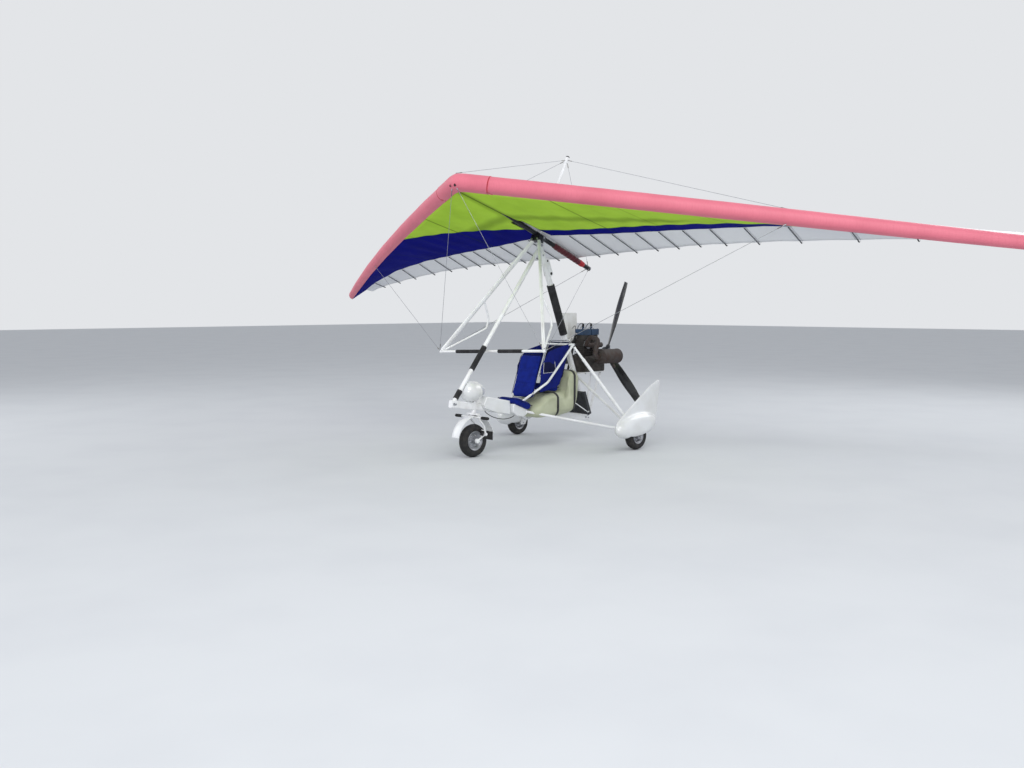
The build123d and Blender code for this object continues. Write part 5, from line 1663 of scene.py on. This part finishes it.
for side in (1, -1):
    y = side * 66
    turned(blocks, AXLE_BOSS, on_trike(WHEELBASE, y, FRONT_TYRE_R), ACROSS, 28)
    bolt_into(blocks, on_trike(WHEELBASE, side * 82, FRONT_TYRE_R), (0, side, 0), 19, 9, 30)
    bolt_into(blocks, on_trike(1482, side * 80, 232), (0, side, 0), 17, 7, 26)
    # The spring: a rubber block between the leg and the link, in two steel cups
    low, high = mm(1536, y, 214), mm(1514, y, 300)
    axis = (high - low).normalized()
    turned(rubber_bits, SPRING_BLOCK, TRIKE @ low, axis, 24)
    turned(blocks, LOWER_CUP, TRIKE @ low, axis, 24)
    turned(blocks, UPPER_CUP, TRIKE @ low, axis, 24)
    turned(rubber_bits, peg, on_trike(1612, side * 145, 418), (0, side, 0), 24)
hose_into(cables, routed(CABLE), 4.0, 10, 56)
put("fork_blocks", blocks, "frame", "fork")
put("fork_rubbers", rubber_bits, "rubber_hose", "fork")
put("control_cable", cables, "rubber_hose", sharp=False)
print("fork fitted, pegs with", PEG_RIBS, "ribs")

# %% [markdown]
# The instrument pod is two mouldings, a bowl and a face. Where they meet, a thin lip runs round.

# %% Instrument pod's parting line
LIP_SECTION = ((-1.2, 99.4), (-1.2, 101.0), (1.2, 100.8), (1.2, 99.0), (-1.2, 99.4))
lip = bmesh.new()
turned(lip, LIP_SECTION, on_trike(1568, 0, 682), FORWARD, 72)
put("pod_parting_line", lip, "silencer")
print("hard parts fitted")

# %% [markdown]
# ## Fittings of the wing
#
# A flexwing's stays end in a copper sleeve that is pressed on the wire round a thimble, and a
# steel tang that is bolted to the tube. Nothing else holds the wing's shape, so each of them is
# looked at before every flight.

# %% Sleeves and tangs at the ends of the stays
WIRE_Y, WING_REAR = 2900.0, -870.0
CORNER_X, CORNER_Y, CORNER_Z = 361.0, 746.0, -1353.0
KINGPOST_TANG = (-95.0, 0.0, 1083.0)
wire_x, wire_z = lead(WIRE_Y)
wire_r = station(WIRE_Y)[-1]
SIDE_STAYS = (
    # port side: start and end of each stay in the wing's frame
    ((CORNER_X, CORNER_Y + 16, CORNER_Z + 4), (wire_x, WIRE_Y, wire_z - wire_r)),
    ((CORNER_X + 14, CORNER_Y + 8, CORNER_Z), (NOSE_X + 14, 30.0, KEEL_TUBE_Z - 70)),
    ((CORNER_X - 8, CORNER_Y + 14, CORNER_Z), (WING_REAR + 18, 12.0, KEEL_TUBE_Z)),
    (KINGPOST_TANG, (wire_x, WIRE_Y, wire_z + wire_r)),
)
stays = [
    (KINGPOST_TANG, (NOSE_X + 40, 0, KEEL_TUBE_Z + 70)),
    (KINGPOST_TANG, (WING_REAR + 14, 0, KEEL_TUBE_Z)),
]
for (ax, ay, az), (bx, by, bz) in SIDE_STAYS:
    stays += [((ax, side * ay, az), (bx, side * by, bz)) for side in (1, -1)]
sleeves, tangs = bmesh.new(), bmesh.new()
STAY_END = (
    # bmesh, from and to in mm along the stay, radius, sides, steps
    (sleeves, 62, 88, 4.6, 10, 4),
    (sleeves, 30, 62, 3.4, 8, 4),
    (tangs, 4, 32, 5.2, 6, 3),
)
for start, end in stays:
    start, end = mm(*start), mm(*end)
    for near, far in ((start, end), (end, start)):
        ahead = (far - near).normalized()
        for bm, low, high, radius, sides, steps in STAY_END:
            ends = [WING @ (near + ahead * at * MM) for at in (low, high)]
            hose_into(bm, ends, radius, sides, steps, straight=True)
put("stay_sleeves", sleeves, "copper", "wing", sharp=False)
put("stay_tangs", tangs, "machined", "wing")
print(len(stays), "stays")

# %% [markdown]
# The control frame, the kingpost and the nose are held by bolts through the tubes. Their places
# are in the wing's frame, so they lean and pitch with the wing. A soft cap covers the kingpost's top.

# %% Bolts of the control frame, the kingpost and the nose
WING_BOLTS = (
    # place in the wing's frame, axis, size across the head
    ((361, 746, -1332), FORWARD, 15), ((361, -746, -1332), FORWARD, 15),
    ((111.5, 40, 30), FORWARD, 15), ((111.5, -40, 30), FORWARD, 15),
    ((46.5, 40, 30), BACKWARD, 15), ((46.5, -40, 30), BACKWARD, 15),
    ((0, 30.5, 90), (0, 1, 0), 17), ((0, -30.5, 90), (0, -1, 0), 17),
    ((-860, 25, 90), (0, 1, 0), 13), ((-860, -25, 90), (0, -1, 0), 13),
)
KINGPOST_CAP = ((0, 0), (0, 18), (3, 21.5), (12, 21.5), (15, 17), (20, 6), (21, 0))
KINGPOST_AXIS = (-0.153, 0, 0.988)
wing_bolts, nose_bolts, cap = (bmesh.new() for _ in range(3))
for spot, axis, size in WING_BOLTS:
    bolt_into(wing_bolts, on_wing(*spot), WING_TURN @ Vector(axis), size, size * 0.45, size * 1.6)
for side in (1, -1):
    axis = WING_TURN @ Vector((0.3, side * 0.7, -0.6))
    bolt_into(nose_bolts, on_wing(1390, side * 34, 30), axis, 17, 9, 34)
turned(cap, KINGPOST_CAP, on_wing(-98, 0, 1113), WING_TURN @ Vector(KINGPOST_AXIS), 32)
put("wing_bolts", wing_bolts, "machined", "wing")
put("nose_bolts", nose_bolts, "black_tube", "wing")
put("kingpost_cap", cap, "foam", "wing")
print(len(WING_BOLTS), "wing bolts")

# %% [markdown]
# The battens are tubes in pockets of the sail. Each ends in a plastic cap, and a short cord ties
# the cap to the trailing edge, which keeps the batten pushed forward and the cloth tight.

# %% Batten ends
CAP_PAST_SAIL = 20
TIE_LOOP = (
    # mm along the batten from the cap's end, out and up
    (0, 0, 0), (6, 9, 3), (-14, 14, 9), (-30, 6, 9),
)
tips, ties = bmesh.new(), bmesh.new()
for side in (1, -1):
    for y in BATTEN_Y:
        _, rear_x, rear_z, tail_x, tail_z, _ = station(y)
        tail = mm(tail_x, side * y, tail_z - 5.3)
        slope = (tail - mm(rear_x, side * y, rear_z - 2.3)).normalized()
        end = tail + slope * CAP_PAST_SAIL * MM
        tip = (WING @ (end - slope * 26 * MM), WING @ (end + slope * 4 * MM))
        hose_into(tips, tip, 6.6, 10, 3, straight=True)
        loop = [end + slope * along * MM + mm(0, out, up) for along, out, up in TIE_LOOP]
        hose_into(ties, [WING @ point for point in loop], 1.6, 6, 14)
put("batten_caps", tips, "black_tube", "wing", sharp=False)
put("batten_ties", ties, "piping", "wing", sharp=False)
print(2 * len(BATTEN_Y), "batten ends")

# %% [markdown]
# ## Keel sleeve
#
# The rear of the keel tube wears a laced fabric sleeve. It is loose, so it wrinkles across, and
# less so at its ends where the ties pull it in. Its red end cap and the tube's black plug close it.

# %% Keel sleeve with its wrinkles
SLEEVE_FROM, SLEEVE_TO, CAP_FROM = -200.0, -752.0, -668.0
SLEEVE_R, TIE_DEEP, LACING_RISE = 33.2, 5.0, 1.6
TIES = (
    # place as a share of the sleeve's length, how wide the pinch is, how deep it is
    (0.0, 0.05, 1.0), (1.0, 0.03, 1.0), (0.845, 0.012, 0.6),
)
PLUG = ((118, 25.2), (0, 25.6), (-3, 24), (-6, 18), (-6, 0))


def sleeve_place(u, v):
    """A point on the sleeve: a tube with soft cross wrinkles and a lacing ridge along its top."""
    x = SLEEVE_FROM + (SLEEVE_TO - SLEEVE_FROM) * v
    turn = 2 * math.pi * u
    pinch = sum(deep * math.exp(-((v - at) / wide) ** 2) for at, wide, deep in TIES)
    wrinkle = 1.3 * math.sin(x * 0.11 + 2.2 * math.sin(turn))
    wrinkle += 0.8 * math.sin(x * 0.23 + 3 * math.cos(turn) + 1)
    ridge = LACING_RISE * math.exp(-((turn - 1.57) / 0.12) ** 2)
    radius = SLEEVE_R + wrinkle * (1 - 0.5 * pinch) + ridge - TIE_DEEP * pinch
    return on_wing(x, radius * math.cos(turn), KEEL_TUBE_Z + radius * math.sin(turn))


bm = bmesh.new()
grid_into(bm, 48, 150, sleeve_place, (0.21, 0.55), closed=True)
for face in bm.faces:
    if (WING_BACK @ face.calc_center_median()).x < CAP_FROM * MM:
        face.material_index = 1
sleeve = settle("keel_sleeve_cloth", bm, [finishes["maroon"], finishes["red"]], "wing")
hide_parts("keel_sleeve")
plug = bmesh.new()
turned(plug, PLUG, on_wing(WING_REAR, 0, KEEL_TUBE_Z), WING_TURN @ Vector(FORWARD), 36)
put("keel_end_plug", plug, "black_tube", "wing")
print("sleeve", round(SLEEVE_FROM - SLEEVE_TO), "mm long")

# %% [markdown]
# ## Foam and tape
#
# The padding on the tubes is split foam pipe, closed and held in place by turns of tape.

# %% Tape round the foam
FOAMS = (
    # foot x and z, top x and z, radius of the foam, heights of its tapes
    ((1880.0, 570.5), (618.0, 2150.0), 28.0, (915, 1125, 631, 690)),
    ((-222.0, 263.5), (552.0, 2150.0), 44.0, (1254, 1515, 1776)),
)
bm = bmesh.new()
for (foot_x, foot_z), (top_x, top_z), radius, heights in FOAMS:
    axis = (top_x - foot_x, 0, top_z - foot_z)
    for z in heights:
        x = foot_x + (top_x - foot_x) * ((z - foot_z) / (top_z - foot_z))
        turned(bm, hoop(-9, 9, radius - 1, radius + 0.6), on_trike(x, 0, z), axis, 36)
put("foam_tapes", bm, "strap")
print("wing fittings done")

# %% [markdown]
# ## Floor and light
#
# The aircraft stands on a plain pale floor under soft studio light: one broad lamp above the port
# bow, three weaker or lower ones round it, and a sky that fills the shadows. What the camera sees
# behind the aircraft is an even pale backdrop.

# %% Stage
FLOOR_HALF = 60.0
floor_mesh = bpy.data.meshes.new("floor")
bm = bmesh.new()
bmesh.ops.create_grid(bm, x_segments=1, y_segments=1, size=FLOOR_HALF)
bm.to_mesh(floor_mesh)
bm.free()
floor = bpy.data.objects.new("floor", floor_mesh)
bpy.context.scene.collection.objects.link(floor)
pale, tree, shader, where = new_material("pale_studio_floor", Roughness=0.85)
tree.links.new(mottled(tree, where, "#CFD2D5", "#C8CBCF", 900, 0.5), shader.inputs["Base Color"])
paint(floor, pale)

LAMPS = (
    # name, place in m, size in m, power in W
    ("key_lamp", (7.0, 7.0, 9.0), 8.0, 620),
    ("fill_lamp", (7.0, -8.0, 6.0), 8.0, 240),
    ("rear_lamp", (-8.0, 3.0, 7.0), 7.0, 240),
    ("low_lamp", (15.0, 12.0, 3.2), 6.0, 560),
)
LAMPS_AIM = Vector((0, 0, 1.2))
for name, place, size, power in LAMPS:
    lamp = bpy.data.lights.new(name, "AREA")
    lamp.shape = "DISK"
    lamp.size = size
    lamp.energy = power
    lit = bpy.data.objects.new(name, lamp)
    lit.location = place
    lit.rotation_mode = "QUATERNION"
    lit.rotation_quaternion = (LAMPS_AIM - Vector(place)).to_track_quat("-Z", "Y")
    bpy.context.scene.collection.objects.link(lit)

world = bpy.data.worlds.new("studio")
bpy.context.scene.world = world
world.use_nodes = True
tree = world.node_tree
fill = tree.nodes["Background"]
fill.inputs["Color"].default_value = srgb("#F1F4FA")
fill.inputs["Strength"].default_value = 0.66
backdrop = add(tree, "Background", {"Color": srgb("#E3E5E8"), "Strength": 1.0})
ray = add(tree, "LightPath").outputs
mirrored = maths(tree, "MAXIMUM", ray["Is Glossy Ray"], ray["Is Transmission Ray"])
seen = maths(tree, "MAXIMUM", ray["Is Camera Ray"], mirrored)
either = add(tree, "MixShader", {0: seen, 1: fill.outputs[0], 2: backdrop.outputs[0]})
tree.links.new(either.outputs[0], tree.nodes["World Output"].inputs["Surface"])
bpy.context.scene.view_settings.view_transform = "Standard"
print("stage ready,", len(LAMPS), "lamps")
